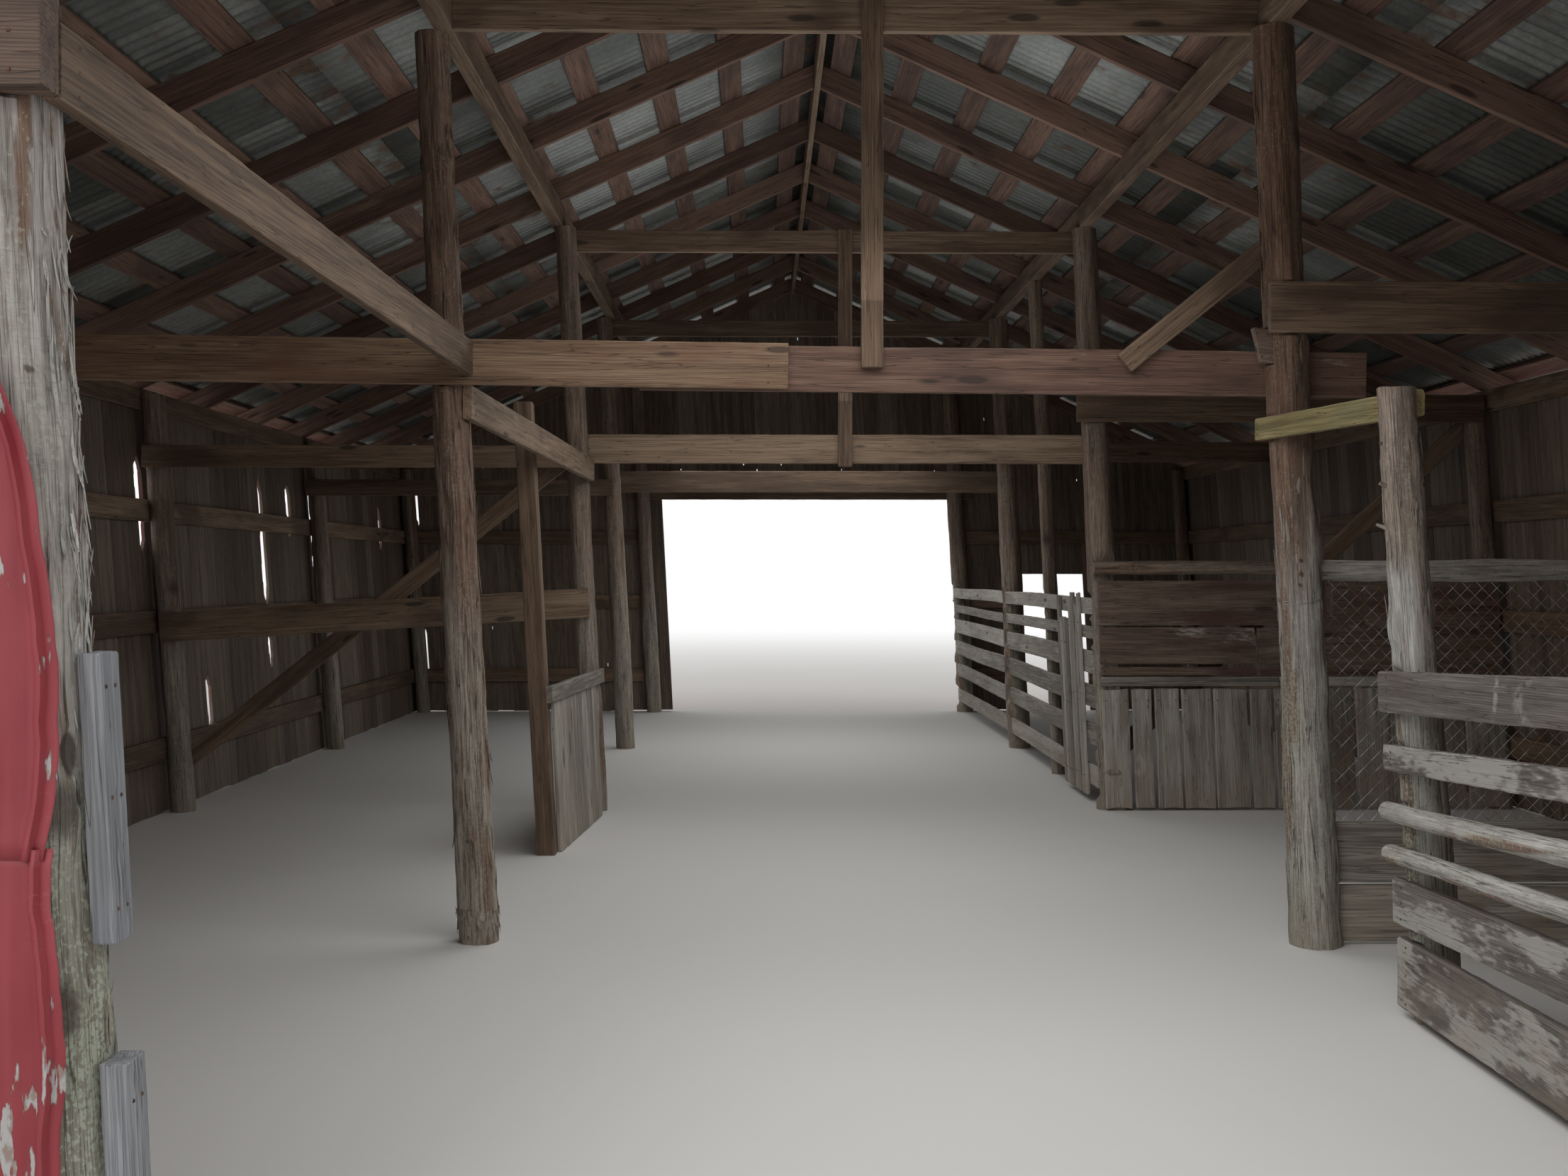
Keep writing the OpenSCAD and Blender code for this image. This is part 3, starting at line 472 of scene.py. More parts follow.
BROWN = plank_finish("brown_timber", (0.085, 0.055, 0.036), (0.190, 0.125, 0.080),
                     (0.330, 0.240, 0.165), (0.075, 0.042, 0.028), 0.7)
REDDISH = plank_finish("reddish_timber", (0.080, 0.045, 0.033), (0.175, 0.100, 0.072),
                       (0.300, 0.192, 0.142), (0.052, 0.034, 0.028), 0.5)
GREY = plank_finish("grey_board", (0.150, 0.132, 0.110), (0.330, 0.300, 0.260),
                    (0.540, 0.510, 0.460), (0.170, 0.125, 0.085), 0.45, dust=0.5)
STALL = plank_finish("stall_board", (0.070, 0.044, 0.034), (0.155, 0.104, 0.078),
                     (0.290, 0.228, 0.180), (0.095, 0.038, 0.030), 0.75, dust=0.3)
TAN = plank_finish("tan_timber", (0.115, 0.068, 0.042), (0.255, 0.162, 0.100),
                   (0.420, 0.300, 0.200), (0.170, 0.075, 0.045), 0.6)
PEN = plank_finish("pen_board", (0.060, 0.051, 0.045), (0.132, 0.115, 0.102),
                   (0.255, 0.230, 0.208), (0.085, 0.046, 0.040), 0.45, dust=0.3, wash=(0.47, 0.455, 0.42),
                   streaked=True)
YELLOWED = plank_finish("yellowed_board", (0.165, 0.128, 0.050), (0.325, 0.265, 0.118),
                        (0.500, 0.430, 0.235), (0.190, 0.190, 0.115), 0.5)
COOL = plank_finish("cool_grey_board", (0.118, 0.122, 0.132), (0.228, 0.238, 0.258),
                    (0.415, 0.430, 0.455), (0.150, 0.155, 0.135), 0.4)
POLE = log_finish("pole_wood",
                  ((0.130, 0.100, 0.072), (0.275, 0.225, 0.170), (0.450, 0.390, 0.310)),
                  ((0.080, 0.044, 0.028), (0.185, 0.105, 0.068), (0.320, 0.215, 0.150)),
                  ((0.232, 0.216, 0.198), (0.430, 0.412, 0.388), (0.650, 0.634, 0.608)))
RED_BOARDS = painted_plank_finish("painted_plank",
                                  ((0.070, 0.048, 0.036), (0.155, 0.115, 0.085),
                                   (0.270, 0.220, 0.175)),
                                  (0.300, 0.042, 0.036), (0.430, 0.130, 0.110))
RED_METAL = red_sheet_finish()
ZINC = zinc_finish()
WIRE = wire_finish()
NAIL = nail_finish()

# Last word of a piece's name where it isn't planks
KINDS = {"pole_wood": "logs", "red_sheet": "sheets", "zinc_sheet": "sheets",
         "steel_wire": "strands", "nail_iron": "iron"}
# What the finishes know of each point, apart from its place along the fibres
FLOATS = ("tone", "edge", "paint", "bark", "knot", "bleach")


class Shell:
    """Points, faces and point attributes that grow piece by piece into one object."""

    def __init__(self):
        self.points = []
        self.faces = []
        self.count = 0
        self.fibre = []
        self.floats = {key: [] for key in FLOATS}

    def add(self, points, faces, fibre=None, **floats):
        points = np.asarray(points, float)
        self.points.append(points)
        self.faces.extend([[k + self.count for k in face] for face in faces])
        self.fibre.append(points if fibre is None else fibre)
        for key in FLOATS:
            self.floats[key].append(np.broadcast_to(floats.get(key, 0.0), len(points)))
        self.count += len(points)

    def add_mesh(self, mesh, matrix=Matrix.Identity(4), **floats):
        """Takes in a plain mesh, moved by matrix, with the attributes that it brings."""
        local = points_of(mesh)
        turn = np.array(matrix)
        fibre = local
        if "fibre" in mesh.attributes:
            fibre = read(mesh.attributes["fibre"].data, "vector", 3)
        for key in FLOATS:
            if key in mesh.attributes and key not in floats:
                floats[key] = read(mesh.attributes[key].data, "value")
        faces = [list(face.vertices) for face in mesh.polygons]
        self.add(local @ turn[:3, :3].T + turn[:3, 3], faces, fibre, **floats)
        bpy.data.meshes.remove(mesh)

    def mesh(self, name, material, round_over=None):
        mesh = bpy.data.meshes.new(name)
        mesh.from_pydata(np.concatenate(self.points), [], self.faces)
        store(mesh, "fibre", np.concatenate(self.fibre))
        for key in FLOATS:
            store(mesh, key, np.concatenate(self.floats[key]))
        mesh.materials.append(material)
        if round_over is not None:
            mesh.shade_smooth()
            mesh.set_sharp_from_angle(angle=math.radians(round_over))
        mesh.update()
        return mesh


def finished(name, shell, material, replaced=(), round_over=None):
    """Makes the object, sets it on the frame and hides the nodes that it stands for."""
    name = name + "_" + KINDS.get(material.name, "planks")
    piece = placed(name, shell.mesh(name, material, round_over))
    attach(piece, "root")
    if replaced:
        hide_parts(*replaced)
    return piece


# Solids of the frame

def solids_of(node):
    """Merged points and outward face normals with areas, for each separate solid of a node."""
    bm = bmesh.new()
    bm.from_mesh(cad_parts[node].data)
    bmesh.ops.remove_doubles(bm, verts=bm.verts, dist=0.00005)
    seen = set()
    solids = []
    for start in bm.verts:
        if start in seen:
            continue
        seen.add(start)
        stack = [start]
        members = []
        while stack:
            vert = stack.pop()
            members.append(vert)
            for link in vert.link_edges:
                other = link.other_vert(vert)
                if other not in seen:
                    seen.add(other)
                    stack.append(other)
        faces = {face for vert in members for face in vert.link_faces}
        solids.append((np.array([vert.co[:] for vert in members]),
                       [(np.array(face.normal[:]), face.calc_area()) for face in faces]))
    bm.free()
    return sorted(solids, key=lambda solid: tuple(np.round(solid[0].mean(0), 3)))


def main_axes(faces):
    """Along, across and through a board, from its largest faces."""
    totals = []
    for normal, area in faces:
        for entry in totals:
            if abs(entry[0] @ normal) > 0.995:
                entry[1] += area
                break
        else:
            totals.append([normal, area])
    totals.sort(key=lambda entry: -entry[1])
    through = totals[0][0]
    across = next(entry[0] for entry in totals if abs(entry[0] @ through) < 0.5)
    across = unit(across - through * (across @ through))
    return np.cross(across, through), across, through


def corners_of(points, faces):
    """The eight corners of a board-like solid, as an array [along][across][through]."""
    axes = np.array(main_axes(faces))
    for k in range(3):
        if axes[k][np.argmax(np.abs(axes[k]))] < 0:
            axes[k] = -axes[k]
    local = (points - points.mean(0)) @ axes.T
    local = local - (local.max(0) + local.min(0)) / 2
    local = local / (local.max(0) - local.min(0))
    return block(lambda i, j, k: points[np.argmax(local @ np.array([2 * i - 1, 2 * j - 1, 2 * k - 1]))])


def boards_of(node):
    """Middle and corners of each board of a node."""
    return [(points.mean(0), corners_of(points, faces)) for points, faces in solids_of(node)]


def span(corners):
    """Length, width and thickness of a board from its corners."""
    return [float(np.linalg.norm(np.diff(corners, axis=k), axis=-1).mean()) for k in range(3)]


def mapped(corners, u, v, w):
    """Points of the eight-cornered block at its own coordinates, each from 0 to 1."""
    total = 0.0
    for i, a in ((0, 1 - u), (1, u)):
        for j, b in ((0, 1 - v), (1, v)):
            for k, c in ((0, 1 - w), (1, w)):
                total = total + (a * b * c)[..., None] * corners[i, j, k]
    return total


def wander(rng, place, spacing, amount):
    """A value that wanders from 0 to amount along a board."""
    knots = np.arange(place.min() - spacing, place.max() + 2 * spacing, spacing)
    return np.interp(place, knots, rng.random(len(knots)) * amount)


# The four corners of a section, anticlockwise in (across, through)
SECTION = ((1, 1), (-1, 1), (-1, -1), (1, -1))
# Wear of a board's edges: spacing of its waves and of its chips, share of the chips that show, how
# much of the thickness an edge may lose, and how far the ends are bevelled and drawn in
WAVE_SPACING = 0.17
CHIP_SPACING = 0.31
CHIPS = 0.07
MOST_WORN = 0.42
BEVEL = 0.003
DRAWN_IN = 0.0022
# A bite keeps its whole depth over this share of its half length
BITE_FLAT = 0.8


def board(shell, corners, rng, wear=0.004, step=0.12, rough=0.0012, bow=0.0, paint=0, cover=1.0,
          tone=None, nibble=0.0, bites=()):
    """One sawn board with worn, uneven edges, drawn inside its eight corners.

    paint is +1 or -1 for the painted broad side and 2 for both, cover how much of it is left; nibble
    makes the ends ragged; each bite is (edge, middle, half length, depth), broken out of the -1 or +1 edge.
    """
    length, width, thick = span(corners)
    count = max(2, int(math.ceil(length / step)))
    bevel = min(BEVEL, length * 0.02) / length
    u = [0.0, bevel, 1 - bevel, 1.0] + list(np.linspace(0, 1, count + 1)[1:-1])
    for _, middle, half, _ in bites:
        u += [np.clip((middle + k * half) / length, 2 * bevel, 1 - 2 * bevel)
              for k in (-1, -BITE_FLAT, BITE_FLAT, 1)]
    u = np.unique(np.round(u, 6))
    run = u * length
    limit = min(width, thick) * MOST_WORN
    v_rows = []
    w_rows = []
    edge = []
    for k, (sv, sw) in enumerate(SECTION):
        r = np.minimum(wear * 0.5 + wander(rng, run, WAVE_SPACING, wear), limit)
        chip = wander(rng, run, CHIP_SPACING, 1.0)
        r = np.minimum(r + np.where(chip > 1 - CHIPS, wear * 1.5, 0.0), limit)
        half_width = np.full_like(r, width / 2)
        for edge_bitten, middle, half, depth in bites:
            if edge_bitten == sv:
                half_width -= depth * np.interp(np.abs(run - middle) / half, [BITE_FLAT, 1.0], [1.0, 0.0])
        side = np.array([sv * half_width, sv * (half_width - 0.3 * r), sv * (half_width - r)])
        face = np.array([sw * (thick / 2 - r), sw * (thick / 2 - 0.3 * r), sw * thick / 2 + 0 * r])
        order = (0, 1, 2) if k % 2 == 0 else (2, 1, 0)
        for m in order:
            v_rows.append(side[m])
            w_rows.append(face[m])
            edge.append(1.0 if m == 1 else 0.0)
        if k in (0, 2):
            v_rows.append(np.zeros_like(run) + rng.uniform(-0.15, 0.15) * width)
            w_rows.append(np.full_like(run, sw * thick / 2))
            edge.append(0.0)
    v = np.array(v_rows).T
    w = np.array(w_rows).T
    v -= np.sign(v) * rng.random(v.shape) * rough
    w -= np.sign(w) * rng.random(w.shape) * rough
    shrink = np.ones(len(u))
    shrink[[0, -1]] = 1 - 2 * DRAWN_IN / max(width, 0.01)
    v *= shrink[:, None]
    w *= shrink[:, None]
    if bow:
        v += (np.sin(run * rng.uniform(0.8, 1.6) + rng.uniform(0, 6)) * bow)[:, None]
    across = v / width + 0.5
    through = w / thick + 0.5
    along = np.repeat(u[:, None], v.shape[1], 1)
    if nibble:
        ragged = rng.random(v.shape[1]) * nibble / length
        along = along + np.where(along < 0.5, ragged, -ragged) * (np.abs(along - 0.5) * 2) ** 8
    points = mapped(corners, along, across, through)
    rings, around = v.shape
    flip = np.linalg.det(np.stack([corners[1, 0, 0], corners[0, 1, 0], corners[0, 0, 1]])
                         - corners[0, 0, 0]) < 0
    pith = rng.uniform(-0.6, 0.6) * width, -rng.uniform(0.02, 0.12)
    tilt = rng.uniform(-0.02, 0.02)
    offset = rng.uniform(0, 40)
    fibre = np.stack([v - pith[0] + tilt * run[:, None], w - pith[1],
                      np.repeat(run[:, None], around, 1) + offset], -1)
    painted = 0.0
    if paint:
        outward = np.abs(w) if paint == 2 else w * paint
        painted = smooth(outward, thick * 0.30, thick * 0.44).ravel() * cover
    shell.add(points.reshape(-1, 3), swept_faces(rings, around, flip=flip), fibre.reshape(-1, 3),
              tone=rng.random() if tone is None else tone,
              edge=np.tile(edge, rings), paint=painted)


# Geometry Nodes trees

def new_tree(name, material, **inputs):
    """An empty tree with named inputs, whole where their value is, and one mesh output."""
    tree = bpy.data.node_groups.new(name, "GeometryNodeTree")
    for label, value in inputs.items():
        kind = "Geometry" if value is None else "Int" if isinstance(value, int) else "Float"
        socket = tree.interface.new_socket(label, in_out="INPUT", socket_type="NodeSocket" + kind)
        if value is not None:
            socket.default_value = value
    tree.interface.new_socket("Geometry", in_out="OUTPUT", socket_type="NodeSocketGeometry")
    maker = Maker(tree)
    maker.material = material
    entry = tree.nodes.new("NodeGroupInput")
    return maker, {label: Value(maker, entry.outputs[label]) for label in inputs}


def close_tree(maker, geometry):
    """Ends a tree in plain geometry with its material, and gives it back."""
    real = maker.node("GeometryNodeRealizeInstances", values={"Geometry": geometry})
    dressed = maker.node("GeometryNodeSetMaterial", values={"Geometry": real, "Material": maker.material})
    maker.node("NodeGroupOutput", values={"Geometry": dressed})
    return maker.tree


def grown(tree, source=None, **sizes):
    """The plain mesh that a tree makes with these sizes."""
    holder = placed("holder", source or bpy.data.meshes.new("seed"))
    modifier = holder.modifiers.new("made", "NODES")
    modifier.node_group = tree
    for item in tree.interface.items_tree:
        if item.in_out == "INPUT" and item.name in sizes:
            modifier[item.identifier] = sizes[item.name]
    graph = bpy.context.evaluated_depsgraph_get()
    result = bpy.data.meshes.new_from_object(holder.evaluated_get(graph))
    bpy.data.objects.remove(holder)
    return result


def log_tree():
    """A debarked log standing on the origin: taper, lumps, flutes, knots and strips of bark."""
    g, size = new_tree("log_form", POLE, Length=3.0, Foot=0.08, Top=0.07, Sides=32, Rings=60,
                       Knot=0.012, Sway=0.02, Ragged=0.0, Rough=0.0, Seed=0.0)
    drum = g.node("GeometryNodeMeshCylinder", {}, {
        "Vertices": size["Sides"], "Side Segments": size["Rings"], "Radius": 1.0, "Depth": 1.0})
    x, y, z = g.parts(g.node("GeometryNodeInputPosition"))
    t = z + 0.5
    height = t * size["Length"]
    radius = size["Foot"] + (size["Top"] - size["Foot"]) * t
    seed = size["Seed"]
    place = g.combine(x * radius + seed * 7.3, y * radius + seed * 3.1, height + seed * 11.7)
    lumps = g.noise(place, (7.0, 7.0, 1.3), 2) - 0.5
    flutes = g.noise(place, (24.0, 24.0, 1.1), 2) - 0.5
    knot = g.cells(place, (2.6, 2.6, 1.7)).eased(0.20, 0.03)
    bark = g.noise(place, (11.0, 11.0, 0.75), 3).eased(0.565, 0.60)
    middle = t * (1.0 - t) * 4.0
    sway_x, sway_y = [(g.noise(g.combine(seed * a, b, height), (1.0, 1.0, 0.55), 1) - 0.5)
                      * middle * size["Sway"] for a, b in ((5.1, 0.3), (9.7, 7.3))]
    coarse = g.noise(place, (38.0, 38.0, 11.0), 3) - 0.5
    shoulder = g.noise(g.combine(seed * 2.3, x * 0.7, height), (1.0, 1.0, 2.6), 2) - 0.5
    out = radius * (lumps * 0.42 + flutes * 0.22 + 0.985) + knot * size["Knot"] + bark * 0.0025
    out = out + (coarse * 2.0 + shoulder * 2.4) * size["Rough"]
    cut = (g.noise(place, (14.0, 14.0, 0.0), 2) - 0.5) * t.eased(0.985, 1.0) * size["Ragged"]
    moved = g.combine(x * out + sway_x, y * out + sway_y, height + cut)
    marked = drum
    for name, kind, value in (("fibre", "FLOAT_VECTOR", place), ("knot", "FLOAT", knot),
                              ("bark", "FLOAT", bark)):
        marked = g.node("GeometryNodeStoreNamedAttribute", {"data_type": kind, "domain": "POINT"},
                        {"Geometry": marked, "Name": name, "Value": value})
    shaped = g.node("GeometryNodeSetPosition", values={"Geometry": marked, "Position": moved})
    return close_tree(g, shaped)


def sheet_tree():
    """A sheet of metal lying along X, its corrugations or ribs side by side along Y."""
    g, size = new_tree("profiled_sheet", ZINC, Length=2.5, Width=0.7, Rows=8, Columns=56, Pitch=0.076,
                       Depth=0.015, Crest=-1.0, Steepness=0.5, Phase=0.0, Dents=0.004, Seed=0.0)
    flat = g.node("GeometryNodeMeshGrid", values={
        "Size X": size["Length"], "Size Y": size["Width"],
        "Vertices X": size["Rows"], "Vertices Y": size["Columns"]})
    x, y, _ = g.parts(g.node("GeometryNodeInputPosition"))
    turn = (y / size["Pitch"] + size["Phase"]) * (2 * math.pi)
    wave = (turn.math("COSINE") - size["Crest"]) * size["Steepness"]
    wave = wave.math("MAXIMUM", 0.0).math("MINIMUM", 1.0)
    dent = g.noise(g.combine(x + size["Seed"] * 3.7, y, size["Seed"]), (1.9, 2.3, 1.0), 3) - 0.5
    raised = g.combine(x, y, wave * size["Depth"] + dent * size["Dents"])
    shaped = g.node("GeometryNodeSetPosition", values={"Geometry": flat, "Position": raised})
    return close_tree(g, shaped)


def wire_tree():
    """Woven wire: zigzag strands side by side, each hooked into the next."""
    g, size = new_tree("woven_wire", WIRE, Width=2.0, Height=1.0, Strands=40, Bends=40, Mesh=0.055,
                       Wire=0.0014)
    post = g.node("GeometryNodeCurvePrimitiveLine", values={
        "Start": (0.0, 0.0, 0.0), "End": g.combine(0.0, 0.0, size["Height"])})
    bent = g.node("GeometryNodeResampleCurve", values={"Curve": post, "Count": size["Bends"]})
    sign = g.node("GeometryNodeInputIndex").math("MODULO", 2.0) * 2.0 - 1.0
    shift = g.combine(sign * size["Mesh"] * 0.26, sign * size["Wire"] * 1.1, 0.0)
    zigzag = g.node("GeometryNodeSetPosition", values={"Geometry": bent, "Offset": shift})
    ring = g.node("GeometryNodeCurvePrimitiveCircle", {}, {"Resolution": 5, "Radius": size["Wire"]})
    strand = g.node("GeometryNodeCurveToMesh", values={"Curve": zigzag, "Profile Curve": ring,
                                                       "Fill Caps": True})
    row = g.node("GeometryNodeMeshLine", {"mode": "END_POINTS"}, {
        "Count": size["Strands"], "Start Location": (0.0, 0.0, 0.0),
        "Offset": g.combine(size["Width"], 0.0, 0.0)})
    turned = g.combine(0.0, 0.0, g.node("GeometryNodeInputIndex").math("MODULO", 2.0) * math.pi)
    panel = g.node("GeometryNodeInstanceOnPoints", values={
        "Points": row, "Instance": strand, "Rotation": turned})
    return close_tree(g, panel)


def nail_tree():
    """A low domed nail head on each point of a mesh, turned the way that the point faces."""
    g, size = new_tree("nail_heads", NAIL, Geometry=None, Head=0.004)
    head = g.node("GeometryNodeMeshCone", {}, {
        "Vertices": 6, "Radius Top": size["Head"] * 0.6, "Radius Bottom": size["Head"],
        "Depth": size["Head"] * 0.45})
    facing = g.node("GeometryNodeInputNamedAttribute", {"data_type": "FLOAT_VECTOR"}, {"Name": "facing"})
    turned = g.node("FunctionNodeAlignRotationToVector", {"axis": "Z"}, {"Vector": facing})
    heads = g.node("GeometryNodeInstanceOnPoints", values={
        "Points": size["Geometry"], "Instance": head, "Rotation": turned})
    return close_tree(g, heads)


LOG_FORM = log_tree()
SHEET_FORM = sheet_tree()
WIRE_FORM = wire_tree()
NAIL_FORM = nail_tree()


class Nails:
    """Places and directions of nail heads, gathered while boards are made."""

    def __init__(self):
        self.places = []
        self.facing = []

    def add(self, place, way):
        self.places.append(place)
        self.facing.append(way)

    def rows(self, corners, shares, count, sides=(-1,), inset=0.025):
        """Rows of nails across the broad faces of a board, at shares of its length."""
        margin = inset / span(corners)[1]
        for u in shares:
            for side in sides:
                for v in np.linspace(margin, 1 - margin, count):
                    face, back = [mapped(corners, np.array(u), np.array(v), np.array(0.5 + k / 2))
                                  for k in (side, -side)]
                    normal = unit(face - back)
                    self.add(face - normal * 0.0004, normal)

    def piece(self, name, head=0.0045):
        points = bpy.data.meshes.new(name)
        points.from_pydata(np.array(self.places), [], [])
        store(points, "facing", np.array(self.facing))
        shell = Shell()
        shell.add_mesh(grown(NAIL_FORM, points, Head=head))
        finished(name, shell, NAIL)


nails = Nails()
roof_nails = Nails()


# Sawn timbers of the frame: node, material, edge wear, spacing of sections
TIMBERS = (
    ("collar_beams", BROWN, 0.005, 0.12),
    ("hangers", BROWN, 0.005, 0.09), ("knee_brace", BROWN, 0.005, 0.09),
    ("side_braces", BROWN, 0.005, 0.15), ("side_beams", BROWN, 0.005, 0.15),
    ("left_side_rail", BROWN, 0.006, 0.10), ("back_header", BROWN, 0.005, 0.20),
    ("aisle_girts", BROWN, 0.006, 0.07), ("aisle_stud", BROWN, 0.006, 0.09),
    ("ridge_board", BROWN, 0.003, 0.30), ("purlin_plates", BROWN, 0.005, 0.20),
    ("wall_plates", BROWN, 0.004, 0.30), ("wall_girts", BROWN, 0.004, 0.25),
    ("end_girts", BROWN, 0.004, 0.25), ("left_rafters", REDDISH, 0.004, 0.20),
    ("right_rafters", REDDISH, 0.004, 0.20), ("left_laths", REDDISH, 0.003, 0.30),
    ("right_laths", REDDISH, 0.003, 0.30), ("front_headers", STALL, 0.006, 0.09),
    ("low_partition", GREY, 0.006, 0.10), ("mesh_base_boards", GREY, 0.007, 0.09),
    ("pen_tie", YELLOWED, 0.006, 0.06),
)


# Nails of a beam or a rail, at shares of its length
BEAM_ENDS = (0.02, 0.98)
RAIL_ENDS = (0.03, 0.97)
# The long girt's crack: its place at either end and half its gap, as shares of the girt's width
CRACK_ENDS = (0.60, 0.64)
CRACK_GAP = 0.006


def cracked(shell, corners, rng, step):
    """A board that has split along its length: two strips with a thin dark gap."""
    split = np.array(CRACK_ENDS)[:, None, None]
    for low, high in ((0.0, split - CRACK_GAP), (split + CRACK_GAP, 1.0)):
        board(shell, strip(corners, low, high), rng, 0.004, step, tone=0.6)


def timbers():
    """Sawn timbers that keep to their solids, each node in one kind of wood."""
    for seed, (node, material, wear, step) in enumerate(TIMBERS, 100):
        shell = Shell()
        rng = random_of(seed)
        weathered = {"paint": 2, "cover": 0.35, "tone": 0.05} if node == "front_headers" else {}
        for _, corners in boards_of(node):
            if node == "aisle_girts" and corners[..., 1].min() > -BAY:
                cracked(shell, corners, rng, step)
            else:
                board(shell, corners, rng, wear, step, **weathered)
            if node in ("aisle_girts", "pen_tie", "front_headers"):
                nails.rows(corners, BEAM_ENDS, 3, (-1, 1))
        finished(node, shell, material, [node])


# The second bent's beam lies in front of this place along the barn
SECOND_BENT_BACK = -2.0


def ties():
    """Beams across the aisle; the second bent's is lapped from a lighter tan board and a darker reddish
    one.
    """
    shells = {TAN: Shell(), REDDISH: Shell(), BROWN: Shell()}
    rng = random_of(23)
    beams = boards_of("tie_beams")
    tan_end = min(x for (x, y, _), _ in beams if y < SECOND_BENT_BACK)
    for (x, y, _), corners in beams:
        front = y < SECOND_BENT_BACK
        wood = BROWN if not front else TAN if x <= tan_end else REDDISH
        board(shells[wood], corners, rng, 0.006, 0.07, 0.0018,
              paint=2 if front else 0, cover=0.25, tone=0.45 if front else None)
        nails.rows(corners, BEAM_ENDS, 3, (-1, 1))
    finished("tie_beams", shells[BROWN], BROWN, ["tie_beams"])
    finished("tie_beam_left", shells[TAN], TAN)
    finished("tie_beam_right", shells[REDDISH], REDDISH)


def cleats():
    """Short boards on the poles, grey at the front left and brown inside, their ends sawn aslant."""
    shells = {COOL: Shell(), STALL: Shell()}
    rng = random_of(31)
    for middle, corners in boards_of("pole_cleats"):
        kind = COOL if middle[0] < 0 else STALL
        board(shells[kind], corners, rng, 0.003, 0.04, 0.0015, nibble=0.005, tone=0.6)
        nails.rows(corners, (0.12, 0.5, 0.88), 2, (1, -1))
    finished("pole_cleats", shells[COOL], COOL, ["pole_cleats"])
    finished("pole_blocks", shells[STALL], STALL)


# The stall partition: heights under which it is boarded upright, pale and washed; shares of its
# length where the boards of a row meet, in the washed rows and above, and of the pale board's halves
UPRIGHT_TOP = 0.785
PALE_TOP = 0.85
WASHED_TOP = 1.1
WASHED_JOINT = 0.39
HIGH_JOINT = 0.66
PALE_HALVES = ((0.0, 0.44), (0.442, 1.0))
# Gap over the pale rows, how uneven a row's lower and upper edges are, and share of length at a joint
STALL_GAP = 0.004
ROW_UNEVEN = (0.004, 0.005)
JOINT_GAP = 0.0008
# Uprights: range of widths, the least that is left for the last, gaps beside them, uneven tops
UPRIGHT_WIDTHS = (0.14, 0.26)
LEAST_UPRIGHT = 0.08
UPRIGHT_GAPS = (0.003, 0.016)
UPRIGHT_UNEVEN = 0.012


def stall():
    """Patched stall partition: rows of mixed boards over a pale rail and uprights."""
    shell = Shell()
    pale = Shell()
    rng = random_of(47)
    rows = sorted((row for _, row in boards_of("stall_partition")), key=lambda row: row[0, 0, 0, 2])
    foot = rows[0][:, 0]
    head = rows[-1][:, 1]
    rise = head[0, 0, 2] - foot[0, 0, 2]

    def slab(u0, u1, z0, z1):
        """Corners of a piece of the partition between two shares of its length and two heights."""
        made = np.zeros((2, 2, 2, 3))
        for i, u in enumerate((u0, u1)):
            low, high = [end[0] + (end[1] - end[0]) * u for end in (foot, head)]
            for j, z in enumerate((z0, z1)):
                made[i, j] = low + (high - low) * ((z - foot[0, 0, 2]) / rise)
        return made

    for row in rows:
        z0, z1 = row[0, 0, 0, 2], row[0, 1, 0, 2]
        if z1 < PALE_TOP:
            continue
        joint = WASHED_JOINT if z0 < WASHED_TOP else HIGH_JOINT
        low = max(z0, PALE_TOP + STALL_GAP)
        for a, b in ((0.0, joint), (joint, 1.0)):
            part = slab(a + JOINT_GAP, b - JOINT_GAP, low + rng.uniform(0, ROW_UNEVEN[0]),
                        z1 - rng.uniform(0, ROW_UNEVEN[1]))
            washed = a == 0.0 and z0 < WASHED_TOP
            board(shell, part, rng, 0.008, 0.05, 0.0025, bow=0.0015, nibble=0.012,
                  paint=2, cover=0.55 if washed else 0.15, tone=rng.uniform(0.2, 0.6))
            nails.rows(part, RAIL_ENDS, 2)
    for a, b in PALE_HALVES:
        board(pale, slab(a, b, UPRIGHT_TOP + STALL_GAP, PALE_TOP), rng, 0.006, 0.05, 0.002, nibble=0.01)
    length = float(np.linalg.norm(foot[1] - foot[0], axis=-1).mean())
    u = 0.0
    while u < 1.0:
        stop = min(u + rng.uniform(*UPRIGHT_WIDTHS) / length, 1.0)
        if 1.0 - stop < LEAST_UPRIGHT / length:
            stop = 1.0
        lying = slab(u + UPRIGHT_GAPS[0] / length, stop - rng.uniform(*UPRIGHT_GAPS) / length,
                     foot[0, 0, 2], UPRIGHT_TOP - rng.uniform(0.0, UPRIGHT_UNEVEN))
        upright = lying.transpose(1, 0, 2, 3)
        board(pale, upright, rng, 0.007, 0.05, 0.002, nibble=0.012, paint=2, cover=0.4)
        nails.rows(upright, (0.9,), 2)
        u = stop
    finished("stall_partition", shell, STALL, ["stall_partition"])
    finished("stall_uprights", pale, GREY)


# Pickets rise more than this. Each has split between these shares of its width, with a gap of twice
# this share, and by one of these shares of its height either half is broken off
PICKET_FROM = 0.9
PICKET_SPLIT = (0.35, 0.60)
PICKET_GAP = 0.03
PICKET_BREAKS = (0.0, 0.02, 0.06, 0.13)


